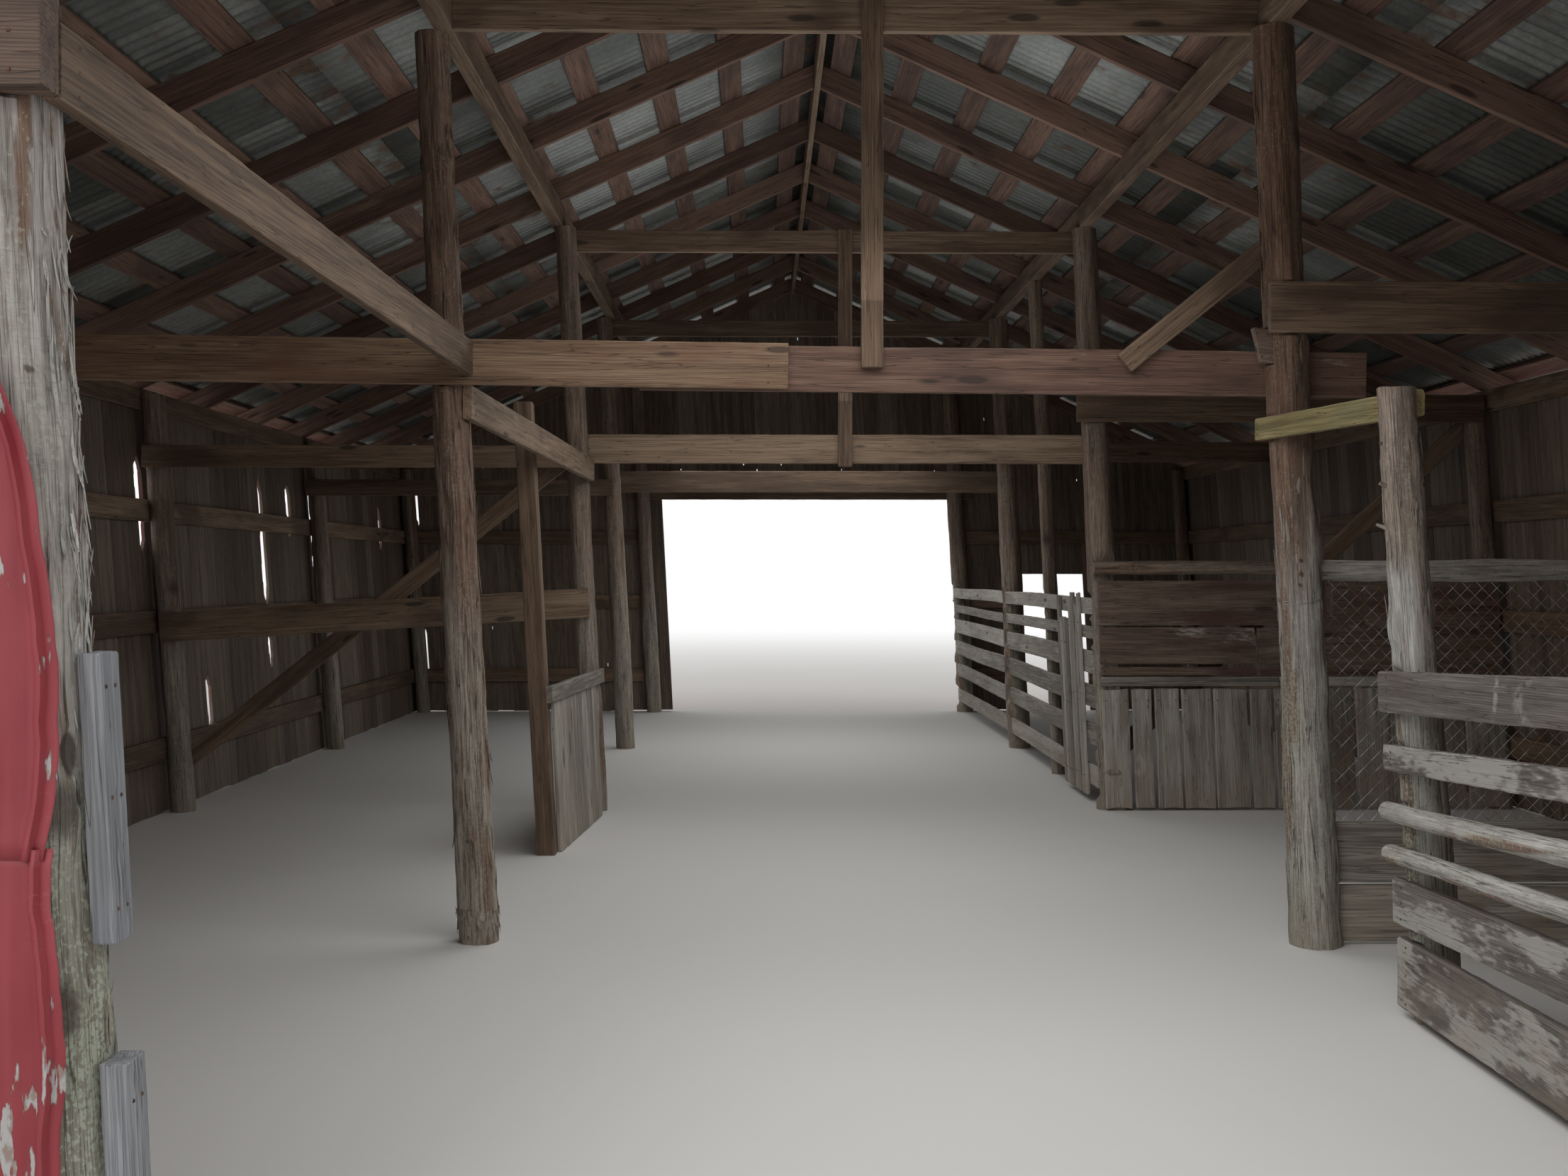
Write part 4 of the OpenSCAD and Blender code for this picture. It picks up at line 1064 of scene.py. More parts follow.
def fence():
    """Slats and pickets along the aisle; each picket has split into two of unequal height."""
    shell = Shell()
    rng = random_of(53)
    for _, corners in boards_of("slatted_fence"):
        if abs(corners[1, 0, 0, 2] - corners[0, 0, 0, 2]) < PICKET_FROM:
            board(shell, corners, rng, 0.007, 0.06, 0.0022, bow=0.005, nibble=0.016, paint=2, cover=0.4)
            nails.rows(corners, (0.03, 0.5, 0.97), 2)
            continue
        split = rng.uniform(*PICKET_SPLIT)
        for low, high in ((0.0, split - PICKET_GAP), (split + PICKET_GAP, 1.0)):
            part = strip(corners, low, high)
            part[1] -= (part[1] - part[0]) * rng.choice(PICKET_BREAKS)
            board(shell, part, rng, 0.006, 0.06, 0.002, bow=0.003, nibble=0.014, paint=2, cover=0.3)
            nails.rows(part, (0.1, 0.5, 0.85), 2, inset=0.02)
    finished("slatted_fence", shell, GREY, ["slatted_fence"])


# Logs

def log_ends(points):
    """Centres and radii of a log's two ends, from the solid that stands for it."""
    size = points.max(0) - points.min(0)
    axis = int(np.argmax(size))
    ends = []
    for pick in (points[:, axis].min(), points[:, axis].max()):
        ring = points[np.abs(points[:, axis] - pick) < (0.002 if axis == 2 else 0.03)]
        middle = (ring.max(0) + ring.min(0)) / 2
        others = [k for k in range(3) if k != axis]
        ends.append((middle, float((ring.max(0) - ring.min(0))[others].max()) / 2))
    return ends


def cad_tree(node):
    """Search tree of a node's faces, to find the flats and housings cut into its logs."""
    bm = bmesh.new()
    bm.from_mesh(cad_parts[node].data)
    tree = BVHTree.FromBMesh(bm)
    bm.free()
    return tree


# A solid's surface nearer its axis than this share of the log's radius is a flat or housing, and
# the log stays this far under it
CUT_SHARE = 0.975
UNDER_CUT = 0.0008
PROBE = 0.3
# Sides of a log and spacing of its rings, seen from near and from afar
NEAR_MESH = (64, 0.014)
FAR_MESH = (28, 0.06)


def log(shell, ends, seed, bleach, near, knot=0.012, sway=0.02, ragged=0.0, rough=0.002,
        front_flat=None, marks=(), tree=None, fine=None, brown=None, moss=0.0):
    """One log between two ends; an upright one is sheared, so both ends stay level.

    bleach is a share, or a function of angle and height, and so is brown, where old bark is left.
    Each mark is (height, angle, half height, half width, push, dark): a bulge, hollow or knot.
    Gives back the points of the surface, the points of the axis beside them, and the axis.
    """
    (a, foot), (b, top) = ends
    way = b - a
    length = float(np.linalg.norm(way))
    upright = way[2] > 0.8 * length
    sides, spacing = fine or (NEAR_MESH if near else FAR_MESH)
    mesh = grown(LOG_FORM, Length=float(way[2]) if upright else length, Foot=foot, Top=top,
                 Sides=sides, Rings=max(4, int(length / spacing)), Knot=knot,
                 Sway=sway, Ragged=ragged, Rough=rough, Seed=float(seed))
    matrix = Matrix.Identity(4)
    if upright:
        matrix[0][2] = way[0] / way[2]
        matrix[1][2] = way[1] / way[2]
    else:
        matrix = Vector(way).to_track_quat("Z", "X").to_matrix().to_4x4()
    mesh.transform(Matrix.Translation(Vector(a)) @ matrix)
    points = points_of(mesh)
    share = (points[:, 2] - a[2]) / way[2] if upright else (points - a) @ way / length ** 2
    axis = a + np.clip(share, 0.0, 1.0)[:, None] * way
    out = points - axis
    reach = np.linalg.norm(out, axis=1)
    flat = reach < 1e-5
    out[~flat] /= reach[~flat, None]
    dark, bark = [read(mesh.attributes[key].data, "value") for key in ("knot", "bark")]
    angle = angle_of(out)
    for height, turn, tall, wide, push, stain in marks:
        arc = (angle - math.radians(turn) + math.pi) % (2 * math.pi) - math.pi
        off = np.sqrt(((points[:, 2] - height) / tall) ** 2 + (arc * reach / wide) ** 2)
        near_mark = 1.0 - smooth(off, 0.25, 1.0)
        reach = reach + near_mark * push
        dark = np.maximum(dark, near_mark * stain)
    if tree is not None:
        limit = foot + (top - foot) * share
        inside = a + np.clip(share, 0.004, 0.996)[:, None] * way
        for k in np.flatnonzero(~flat):
            hit = tree.ray_cast(Vector(inside[k] + out[k] * PROBE), Vector(-out[k]), PROBE)
            if hit[0] is not None:
                cut = PROBE - hit[3]
                if cut < limit[k] * CUT_SHARE:
                    reach[k] = min(reach[k], cut - UNDER_CUT)
    points = axis + out * reach[:, None]
    if front_flat is not None:
        points[:, 1] = np.maximum(points[:, 1], front_flat)
    mesh.vertices.foreach_set("co", points.ravel())
    if callable(bleach):
        bleach = bleach(np.degrees(angle), points[:, 2])
    if brown is not None:
        bark = np.maximum(bark, brown(np.degrees(angle), points[:, 2]))
    shell.add_mesh(mesh, bleach=bleach, tone=0.5, knot=dark, bark=bark, paint=moss)
    return points, axis, way / length


# Sections of a strip of bark: share of its length, share of its width, half thickness
STRIP_SECTIONS = ((0.0, 0.3, 0.0006), (0.3, 1.0, 0.0018), (0.7, 0.85, 0.0018), (1.0, 0.15, 0.0006))


def peel(shell, surface, rng, count, low, high, turn, length, width, lift, **floats):
    """Thin strips of bark and fibre that stand off an upright log between two heights."""
    points, axis, along = surface
    out = points - axis
    angle = np.degrees(angle_of(out))
    picked = (points[:, 2] > low) & (points[:, 2] < high) & (angle > turn[0]) & (angle < turn[1])
    for k in rng.choice(np.flatnonzero(picked & (np.linalg.norm(out, axis=1) > 0.02)), count):
        away = unit(out[k])
        side = np.cross(along, away)
        long = min(rng.uniform(*length), high - points[k, 2] + 0.02)
        wide = rng.uniform(*width) / 2
        stand = rng.uniform(*lift)
        hang = rng.random() < 0.5
        rings = []
        for s, spread, thick in STRIP_SECTIONS:
            rise = stand * ((1.0 - s) if hang else s) ** 2
            middle = points[k] + along * (s * long) + away * (rise + 0.0004)
            middle = middle + side * rng.uniform(-0.3, 0.3) * wide
            rings += [middle + side * wide * spread, middle + away * thick,
                      middle - side * wide * spread, middle - away * thick]
        rings = np.array(rings)
        shell.add(rings, swept_faces(4, 4), rings + rng.uniform(0, 9), tone=rng.random(), **floats)


# Single poles: node and place along the barn
FRONT_POLE = ("left_aisle_poles", -7.2)
LEFT_POLE = ("left_aisle_poles", -3.6)
RIGHT_POLE = ("right_aisle_poles", -3.7)
PEN_POST = ("pen_post", -4.8)
# Their bulges, hollows and knots: height, angle, half height, half width, push, dark
MARKS = {
    FRONT_POLE: (
        (1.864, -54, 0.014, 0.014, 0.005, 1.3), (1.18, -33, 0.055, 0.026, -0.016, 2.0),
        (1.10, -25, 0.030, 0.015, -0.006, 1.0), (0.75, -60, 0.030, 0.018, -0.006, 0.9)),
    LEFT_POLE: (
        (0.42, -95, 0.020, 0.020, 0.006, 1.1), (2.30, -70, 0.16, 0.05, -0.010, 0.0),
        (1.55, 180, 0.10, 0.05, 0.010, 0.0), (0.90, 0, 0.14, 0.06, -0.009, 0.0),
        (1.46, -80, 0.014, 0.014, 0.002, 1.2), (1.05, -100, 0.012, 0.012, 0.0, 1.0)),
    RIGHT_POLE: (
        (1.62, -10, 0.10, 0.08, 0.012, 0.0), (1.86, -5, 0.16, 0.09, -0.014, 0.0),
        (1.554, -101, 0.014, 0.014, 0.003, 1.6), (1.502, -101, 0.016, 0.015, 0.004, 1.6),
        (1.459, -106, 0.012, 0.012, 0.002, 1.5), (1.47, 178, 0.012, 0.012, 0.004, 1.2),
        (1.05, -20, 0.14, 0.06, 0.008, 0.0), (0.70, -160, 0.12, 0.06, -0.008, 0.0)),
    PEN_POST: (
        (1.795, -40, 0.014, 0.014, 0.002, 1.6), (1.32, 180, 0.08, 0.07, 0.010, 0.0),
        (1.39, 0, 0.08, 0.07, 0.010, 0.0), (2.00, 0, 0.26, 0.12, -0.012, 0.0)),
}
# Strips of bark: count, lowest and highest point, range of angle, length, width, lift, bark, bleach
STRIPS = {
    FRONT_POLE: (
        (70, 1.20, 2.10, (-30, 25), (0.04, 0.22), (0.004, 0.011), (0.004, 0.015), 0.0, 1.0),
        (60, 0.02, 3.2, (-25, 30), (0.03, 0.12), (0.004, 0.010), (0.004, 0.014), 0.6, 0.4),
        (30, 0.02, 2.4, (-170, 0), (0.05, 0.16), (0.006, 0.018), (0.001, 0.004), 0.0, 0.9)),
    LEFT_POLE: (
        (230, 0.02, 3.3, (-180, 180), (0.04, 0.18), (0.006, 0.020), (0.002, 0.010), 0.8, 0.2),
        (70, 0.01, 0.12, (-180, 180), (0.08, 0.30), (0.010, 0.028), (0.003, 0.012), 0.3, 0.5)),
    RIGHT_POLE: (
        (150, 0.02, 2.0, (-180, 180), (0.03, 0.14), (0.005, 0.016), (0.001, 0.007), 0.2, 0.6),
        (70, 2.0, 3.5, (-180, 180), (0.04, 0.16), (0.006, 0.018), (0.002, 0.008), 0.9, 0.0)),
    PEN_POST: (
        (90, 0.02, 2.0, (-180, 180), (0.03, 0.12), (0.005, 0.014), (0.001, 0.006), 0.3, 0.7),),
}
# Branch stubs of the pen post: height, how far out, thickness at the root
STUBS = ((1.927, 0.007, 0.005), (1.795, 0.018, 0.007), (1.646, 0.029, 0.008))


def on_side(angle, turn, low, high):
    """1 on the side of a log that faces turn, eased to 0 round from it."""
    return smooth(np.cos(np.radians(angle - turn)), low, high)


def post_bleach(angle, z):
    """The pen post is pale and bare down its left side, below the middle."""
    left = on_side(angle, -158, 0.2, 0.75)
    return 0.38 + 0.62 * left * smooth(z, 1.60, 1.45)


def orange_side(angle, z):
    """The left pole of the second bent is orange-brown on its right, about the middle."""
    right = on_side(angle, -35, 0.15, 0.85)
    return right * smooth(z, 1.05, 1.5) * smooth(z, 2.9, 2.3) * 0.9 + smooth(z, 2.2, 2.7) * 0.6


def lit_bleach(angle, z):
    """The right pole of the second bent is pale low down and browner towards its tie."""
    return 0.68 - 0.55 * smooth(z, 1.45, 2.05)


def warm_side(angle, z):
    """The same pole is orange-brown on its left from the middle up."""
    left = on_side(angle, -160, -0.2, 0.7)
    return left * smooth(z, 1.30, 1.70) + smooth(z, 2.1, 2.6) * 0.6


# Nodes of logs: size of knots, raggedness of tops, sway, and bleach of the logs seen from near
LOG_NODES = {
    "left_aisle_poles": (0.012, 0.0, 0.03, 0.22), "right_aisle_poles": (0.012, 0.0, 0.03, 0.22),
    "wall_posts": (0.012, 0.0, 0.03, 0.22), "pen_post": (0.018, 0.03, 0.03, 0.22),
    "log_rails": (0.012, 0.0, 0.02, 0.75),
}
# Logs in front of this place are seen from near; the others are this pale
NEAR_FROM = -3.0
FAR_BLEACH = 0.22
# How pale single poles are, where they keep brown bark, and how mossy their feet are
BLEACH = {PEN_POST: post_bleach, RIGHT_POLE: lit_bleach, FRONT_POLE: 0.85}
BROWN_SIDES = {LEFT_POLE: orange_side, RIGHT_POLE: warm_side}
MOSS = {FRONT_POLE: 1.0, PEN_POST: 0.35, RIGHT_POLE: 0.25}


def poles():
    """Poles, posts and log rails; gives back the surface of the second bent's right pole."""
    front = -HALF_L + 0.5
    seed = 3
    rng = random_of(59)
    surfaces = {}
    for node, (knot, ragged, sway, near_bleach) in LOG_NODES.items():
        shell = Shell()
        tree = cad_tree(node)
        for points, _ in solids_of(node):
            seed += 1
            y = points[:, 1].mean()
            near = y < NEAR_FROM and node != "wall_posts"
            key = next((k for k in MARKS if k[0] == node and abs(k[1] - y) < 0.1), None)
            bleach = BLEACH.get(key, near_bleach if near else FAR_BLEACH)
            surface = log(shell, log_ends(points), seed, bleach, near, knot, sway, ragged,
                          0.005 if near else 0.004, SKIN_BACK if y < front else None,
                          MARKS.get(key, ()), tree, brown=BROWN_SIDES.get(key), moss=MOSS.get(key, 0.0))
            surfaces[key] = surface
            for *sizes, bark, pale in STRIPS.get(key, ()):
                peel(shell, surface, rng, *sizes, bark=bark, bleach=pale)
        if node == "pen_post":
            stubs(shell, surfaces[PEN_POST])
        finished(node, shell, POLE, [node], 50)
    return surfaces[RIGHT_POLE]


def stubs(shell, surface):
    """Broken-off branch stubs on the aisle side of the pen post."""
    points, axis, _ = surface
    for height, out, thick in STUBS:
        level = np.abs(points[:, 2] - height) < 0.012
        edge = points[level][np.argmin(points[level][:, 0])]
        middle = axis[level].mean(0)
        root = edge + np.array([0.014, 0.0, -0.006])
        tip = np.array([edge[0] - out, edge[1] + 0.3 * (edge[1] - middle[1]), edge[2] + out * 0.35])
        log(shell, ((root, thick), (tip, thick * 0.62)), 90 + height, 0.7, True, 0.0, 0.0, 0.004,
            0.0015, fine=(14, 0.006))


# Solids of the pen with more corners than this are round rails
ROUND_FROM = 24
# Cover of old wash on its boards, by height
PEN_COVER = ((0.2, 0.95, 1.15), (1.1, 1.25, 0.30))


def pen():
    """Boards and round rails of the front pen."""
    boards = Shell()
    rails = Shell()
    rng = random_of(61)
    tree = cad_tree("pen_fence")
    for number, (points, faces) in enumerate(solids_of("pen_fence")):
        if len(points) > ROUND_FROM:
            log(rails, log_ends(points), 70 + number, 0.88, True, 0.010, 0.045, rough=0.0035,
                tree=tree, fine=(48, 0.015))
        else:
            corners = corners_of(points, faces)
            cover = float(np.interp(points[:, 2].mean(), *PEN_COVER))
            board(boards, corners, rng, 0.007, 0.04, 0.0025, bow=0.003, nibble=0.010, paint=2,
                  cover=cover, tone=0.5)
            nails.rows(corners, RAIL_ENDS, 3)
    finished("pen_boards", boards, PEN, ["pen_fence"])
    finished("pen_rails", rails, POLE, [], 50)


# Board walls

def set_edge(edges, place):
    """Moves the nearest joint between boards to a place."""
    edges[int(np.argmin(np.abs(np.array(edges[1:-1]) - place))) + 1] = place


def split_widths(rng, start, stop, low=0.14, high=0.27):
    """Edges of boards of uneven width that fill the stretch from start to stop."""
    edges = [start]
    while stop - edges[-1] > high + low:
        edges.append(edges[-1] + rng.uniform(low, high))
    if stop - edges[-1] > high:
        edges.append((edges[-1] + stop) / 2)
    return edges + [stop]


# Broken slits of the side walls: place along the barn, lowest and highest point, greatest width,
# and 1 or -1 for the end, upper or lower, where it is the broader
LEFT_SLITS = ((-0.08, 1.62, 2.26, 0.125, 1), (2.35, 1.22, 2.30, 0.145, -1), (2.35, 0.76, 1.04, 0.11, 1),
              (3.08, 1.78, 2.25, 0.13, 1), (3.74, 1.70, 2.30, 0.145, 1), (3.74, 1.48, 1.68, 0.125, 1),
              (6.20, 1.74, 2.22, 0.16, -1), (0.90, 0.32, 0.82, 0.11, 1), (-4.40, 1.30, 1.75, 0.02, 1))
RIGHT_SLITS = ((-2.10, 1.30, 1.90, 0.02, 1), (4.40, 0.90, 1.40, 0.03, 1))
# Torn steps of a slit: edge of the board, stretch from the narrow to the broad end, share of the width
TORN_STEPS = ((1, 0.00, 1.00, 0.34), (1, 0.42, 0.93, 0.14), (1, 0.66, 0.80, 0.06),
              (-1, 0.07, 0.98, 0.32), (-1, 0.30, 0.87, 0.14))


def torn(edge, low, high, width, broad):
    """Steps broken out of one board's edge along a slit."""
    tall = high - low
    return [(edge, low + tall * (0.5 + broad * ((start + stop) / 2 - 0.5)), tall * (stop - start) / 2,
             width * share) for side, start, stop, share in TORN_STEPS if side == edge]


def nail_holes(rng, height, share):
    """Now and then a small chip out of a board's edge, where daylight pricks through."""
    if rng.random() >= share:
        return []
    return [(rng.choice([-1, 1]), rng.uniform(0.3, height - 0.2), rng.uniform(0.008, 0.02),
             rng.uniform(0.005, 0.010))]


def wall_board(shell, corners, rng, nibble, bites, foot, top, highest):
    """One upright wall board, painted outside, nailed to the girts and near its top."""
    board(shell, corners, rng, 0.003, 0.22, 0.001, paint=1, nibble=nibble, bites=bites)
    shares = [(z - foot) / (top - foot) for z in GIRT_HEIGHTS + (highest,) if foot + 0.05 < z < top - 0.05]
    nails.rows(corners, shares, 2, (1,), 0.03)


# Widest gaps between a side wall's boards, at the foot and the head, and how uneven their ends are
WALL_GAPS = (0.002, 0.003)
FOOT_UNEVEN = 0.006
HEAD_UNEVEN = 0.01


def side_wall(side, name, seed, slits):
    """Upright boards of a side wall, leaning with it."""
    shell = Shell()
    rng = random_of(seed)
    edges = split_widths(rng, -END_Y, END_Y)
    for y, *_ in slits:
        set_edge(edges, y)
    edges.sort()
    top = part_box(name)[1].z - 0.002
    for a, b in zip(edges[:-1], edges[1:]):
        gap = [rng.uniform(0.0, widest) for widest in WALL_GAPS]
        foot = rng.uniform(0.0, FOOT_UNEVEN)
        bites = []
        for y, z0, z1, width, broad in slits:
            if min(abs(a - y), abs(b - y)) < 1e-6:
                bites += torn(-1 if abs(a - y) < 1e-6 else 1, z0 - foot, z1 - foot, width, broad)
        bites += nail_holes(rng, top, 0.5)
        z = foot, top - rng.uniform(0, HEAD_UNEVEN)
        corners = block(lambda i, j, k: (side * (HALF_W + (GIRT_OUT, SKIN_OUT)[k]) + wall_shift(z[i]),
                                         (a + gap[i], b - 0.001)[j], z[i]))
        wall_board(shell, corners, rng, 0.004, bites, foot, top, SIDE_NAILS)
    finished(name, shell, RED_BOARDS, [name])


# Slits near the back wall's left corner: place at the ground, then middle, half height, depth a side
BACK_SLIT = (-3.945, (2.23, 0.19, 0.014), (0.63, 0.29, 0.010))
# How far the back wall's boards reach past their joints, and how uneven their feet are
BACK_REACH = (0.0004, 0.0015)
BACK_UNEVEN = 0.02


def back_wall():
    """Upright boards of the back wall and its gable, round the doorway and the stock doorway."""
    shell = {"back_left_wall": Shell(), "back_right_wall": Shell(), "back_gable": Shell()}
    rng = random_of(83)
    under_roof = RIDGE_Z + PLATE_W / math.cos(PITCH) - 0.003
    corner = HALF_W + SKIN_OUT
    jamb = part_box("back_left_wall")[1].x
    right = HALF_AISLE + RACK
    stretches = ((-corner + RACK, jamb, 0.0, "back_left_wall"),
                 (jamb, right, BACK_DOOR_H, "back_gable"),
                 (right, STOCK_DOOR[0], 0.0, "back_right_wall"),
                 (STOCK_DOOR[0], STOCK_DOOR[1], STOCK_DOOR[2], "back_right_wall"),
                 (STOCK_DOOR[1], corner + RACK, 0.0, "back_right_wall"))
    for start, stop, bottom, name in stretches:
        edges = split_widths(rng, start, stop)
        if start < BACK_SLIT[0] < stop:
            set_edge(edges, BACK_SLIT[0])
        for a, b in zip(edges[:-1], edges[1:]):
            foot = bottom + (rng.uniform(0.0, BACK_UNEVEN) if bottom == 0 else 0.0)
            corners = np.zeros((2, 2, 2, 3))
            for j, x in ((0, a - rng.uniform(*BACK_REACH)), (1, b + rng.uniform(*BACK_REACH))):
                across = x - RACK
                upright = np.interp(abs(across), [HALF_AISLE, HALF_W], [POLE_H, EAVE])
                top = under_roof - abs(across) * SLOPE
                for _ in range(3):
                    x_top = across + RACK * (1 - top / upright)
                    top = under_roof - abs(x_top) * SLOPE
                for k, y in ((0, END_Y), (1, END_Y + BOARD_T)):
                    corners[0, j, k] = (across + RACK * (1 - foot / upright), y, foot)
                    corners[1, j, k] = (x_top, y, top)
            bites = nail_holes(rng, corners[1, 0, 0, 2] - foot, 0.8)
            if name == "back_gable":
                bites += nail_holes(rng, 0.9, 0.6)
            for j, x in ((-1, a), (1, b)):
                if abs(x - BACK_SLIT[0]) < 1e-6:
                    bites += [(j, middle - foot, half, depth) for middle, half, depth in BACK_SLIT[1:]]
            wall_board(shell[name], corners, rng, 0.003, bites, foot, corners[1, 0, 0, 2], BACK_NAILS)
    for name, made in shell.items():
        finished(name, made, RED_BOARDS, [name])


# Metal sheets

# Roof sheets: width of a corrugation, how many each sheet covers besides its lap, and thickness
CORRUGATION = 0.0759
SHEET_PITCHES = 9
SHEET_THICK = 0.0007
# Depth of the corrugations, points across each, depth of the dents, and points along a sheet
WAVE_DEPTH = 0.0135
WAVE_POINTS = 6
ROOF_DENTS = 0.003
ROOF_ROWS = 7
# How far a sheet lies over the laths, and how much farther every other column and the upper course do
SEAT_LIFT = 0.0012
COLUMN_LIFT = 0.0009
COURSE_LIFT = 0.0012
# Narrowest sheet, how uneven the eaves are, and how far nails stay from a sheet's ends
LEAST_SHEET = 0.02
EAVE_UNEVEN = 0.012
NAIL_MARGIN = 0.03
# Sheets run past the wall and hang below the eave; courses meet at a share of the slope, lapped
EAVE_OVERHANG = 0.35
EAVE_DRIP = 0.028
COURSE_SHARE = 0.52
COURSE_LAP = 0.15
UP = Vector((0, 0, 1))
FORWARD = Vector((0, -1, 0))


def sheet_piece(name, shell, material, way, thickness=SHEET_THICK, round_over=60):
    """Finishes an object of thin sheets whose faces look along way, and gives them a thickness."""
    piece = finished(name, shell, material, [name], round_over)
    normal = sum((face.normal * face.area for face in piece.data.polygons), Vector((0, 0, 0)))
    if normal.dot(way) < 0:
        piece.data.flip_normals()
    solid = piece.modifiers.new("thickness", "SOLIDIFY")
    solid.thickness = thickness
    solid.offset = 1.0


def roof(side, name, seed):
    """Corrugated sheets in two courses, lapped sideways and down the slope."""
    shell = Shell()
    rng = random_of(seed)
    slope_len = (HALF_W + EAVE_OVERHANG) / math.cos(PITCH) + EAVE_DRIP
    base = PLATE_W + BOARD_T
    place = Matrix.Translation((0, 0, RIDGE_Z)) @ Matrix.Rotation(PITCH, 4, "Y")
    if side < 0:
        place = Matrix.Scale(-1, 4, (1, 0, 0)) @ place
    laths = [(place.inverted() @ Vector(points.mean(0))).x
             for points, _ in solids_of(name.replace("roof", "laths"))]
    middle = slope_len * COURSE_SHARE
    for course, (start, stop) in enumerate(((middle - COURSE_LAP, slope_len),
                                            (0.001 - base * SLOPE, middle))):
        y = -ROOF_END
        column = 0
        while y < ROOF_END - LEAST_SHEET:
            pitches = min(SHEET_PITCHES + 1, int((ROOF_END - y) / CORRUGATION + 0.5))
            stop_y = y + pitches * CORRUGATION
            if stop_y > ROOF_END - LEAST_SHEET:
                stop_y = ROOF_END
            width = stop_y - y
            end = stop - (rng.uniform(0.0, EAVE_UNEVEN) if course == 0 else 0.0)
            sheet = grown(SHEET_FORM, Length=end - start, Width=width, Rows=ROOF_ROWS,
                          Columns=pitches * WAVE_POINTS + 1, Pitch=width / pitches,
                          Phase=0.5 * (pitches % 2), Depth=WAVE_DEPTH, Dents=ROOF_DENTS,
                          Seed=float(rng.uniform(0, 50)))
            lift = SEAT_LIFT + COLUMN_LIFT * (column % 2) + COURSE_LIFT * course
            centre = ((start + end) / 2, (y + stop_y) / 2, base + lift)
            seat = place @ Matrix.Translation(centre)
            for lath in laths:
                if start + NAIL_MARGIN < lath < end - NAIL_MARGIN:
                    sheet_nails(sheet, seat, lath - centre[0], width / pitches, pitches, rng)
            rim = edge_marks(sheet, end - start, width)
            shell.add_mesh(sheet, seat, tone=float(rng.random()), edge=rim)
            y += SHEET_PITCHES * CORRUGATION
            column += 1
    sheet_piece(name, shell, ZINC, UP)


def sheet_nails(sheet, seat, along, pitch, pitches, rng):
    """Nails through every third crest of a corrugated sheet, over one lath."""
    co = points_of(sheet)
    normal = np.array((seat.to_3x3() @ UP).normalized())
    for k in range(1, pitches, 3):
        y = (k - pitches / 2) * pitch
        near = np.argmin((co[:, 0] - along) ** 2 * 0.05 + (co[:, 1] - y) ** 2)
        crest = Vector((along + rng.uniform(-0.01, 0.01), co[near, 1], co[near, 2]))
        roof_nails.add(np.array(seat @ crest) + normal * (SHEET_THICK + 0.0003), normal)


def edge_marks(sheet, length, width, rim=0.03):
    """1 along the four edges of a flat sheet, falling to 0 a little way in."""
    inward = (np.array([length, width]) / 2 - np.abs(points_of(sheet)[:, :2])).min(1)
    return 1.0 - smooth(inward, 0.0, rim)


# Lengths of the ridge cap, how far each runs over the next, and sections along each
CAP_LENGTH = 2.44
CAP_LAP = 0.08
CAP_SECTIONS = 12


def ridge_cap():
    """Folded cap over the ridge in lapped lengths, its lower edges turned down."""
    shell = Shell()
    rng = random_of(91)
    low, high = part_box("ridge_cap")
    wing = high.x
    drop = high.z - low.z - 0.004
    # Half of the section, from beside the fold to the turned edge: place across, and height
    half = [(0.022, -0.010), (wing * 0.5, -drop * 0.5 + 0.003), (wing - 0.004, -drop + 0.004),
            (wing, -drop - 0.003)]
    profile = [(-x, z) for x, z in half[::-1]] + [(0.0, 0.0)] + half
    count = len(profile)
    rim = np.ones((CAP_SECTIONS, count))
    rim[1:-1, 1:-1] = 0.0
    y = low.y
    while y < high.y - 0.05:
        places = np.linspace(y, min(y + CAP_LENGTH + CAP_LAP, high.y), CAP_SECTIONS)
        grid = [[(x, place, high.z - 0.0015 + z + sag)
                 for (x, z), sag in zip(profile, rng.uniform(-0.0015, 0.0, count))] for place in places]
        shell.add(np.reshape(grid, (-1, 3)), swept_faces(CAP_SECTIONS, count, False),
                  tone=float(rng.random()), edge=rim.ravel())
        y += CAP_LENGTH
    sheet_piece("ridge_cap", shell, ZINC, UP, -SHEET_THICK, 30)


# Torn edges of the two lapped sheets beside the front pole: height and sideways place
LOWER_EDGE = ((0.0, -1.592), (0.439, -1.591), (0.527, -1.591), (0.606, -1.580), (0.685, -1.580),
              (0.763, -1.5855), (0.842, -1.591), (0.937, -1.604), (1.02, -1.600))
UPPER_EDGE = ((0.985, -1.620), (1.005, -1.612), (1.016, -1.609), (1.052, -1.6065), (1.100, -1.596),
              (1.194, -1.591), (1.262, -1.590), (1.353, -1.590), (1.444, -1.596), (1.527, -1.608),
              (1.622, -1.621), (1.714, -1.6375), (1.776, -1.658), (1.830, -1.679), (1.888, -1.704),
              (2.05, -1.790), (2.34, -1.900))
# Height of their lap, the last rib's distance from the edge, and the ribs' spacing and depth
SHEET_LAP = 1.0
EDGE_RIB = 0.033
RIB_PITCH = 0.229
RIB_DEPTH = 0.014


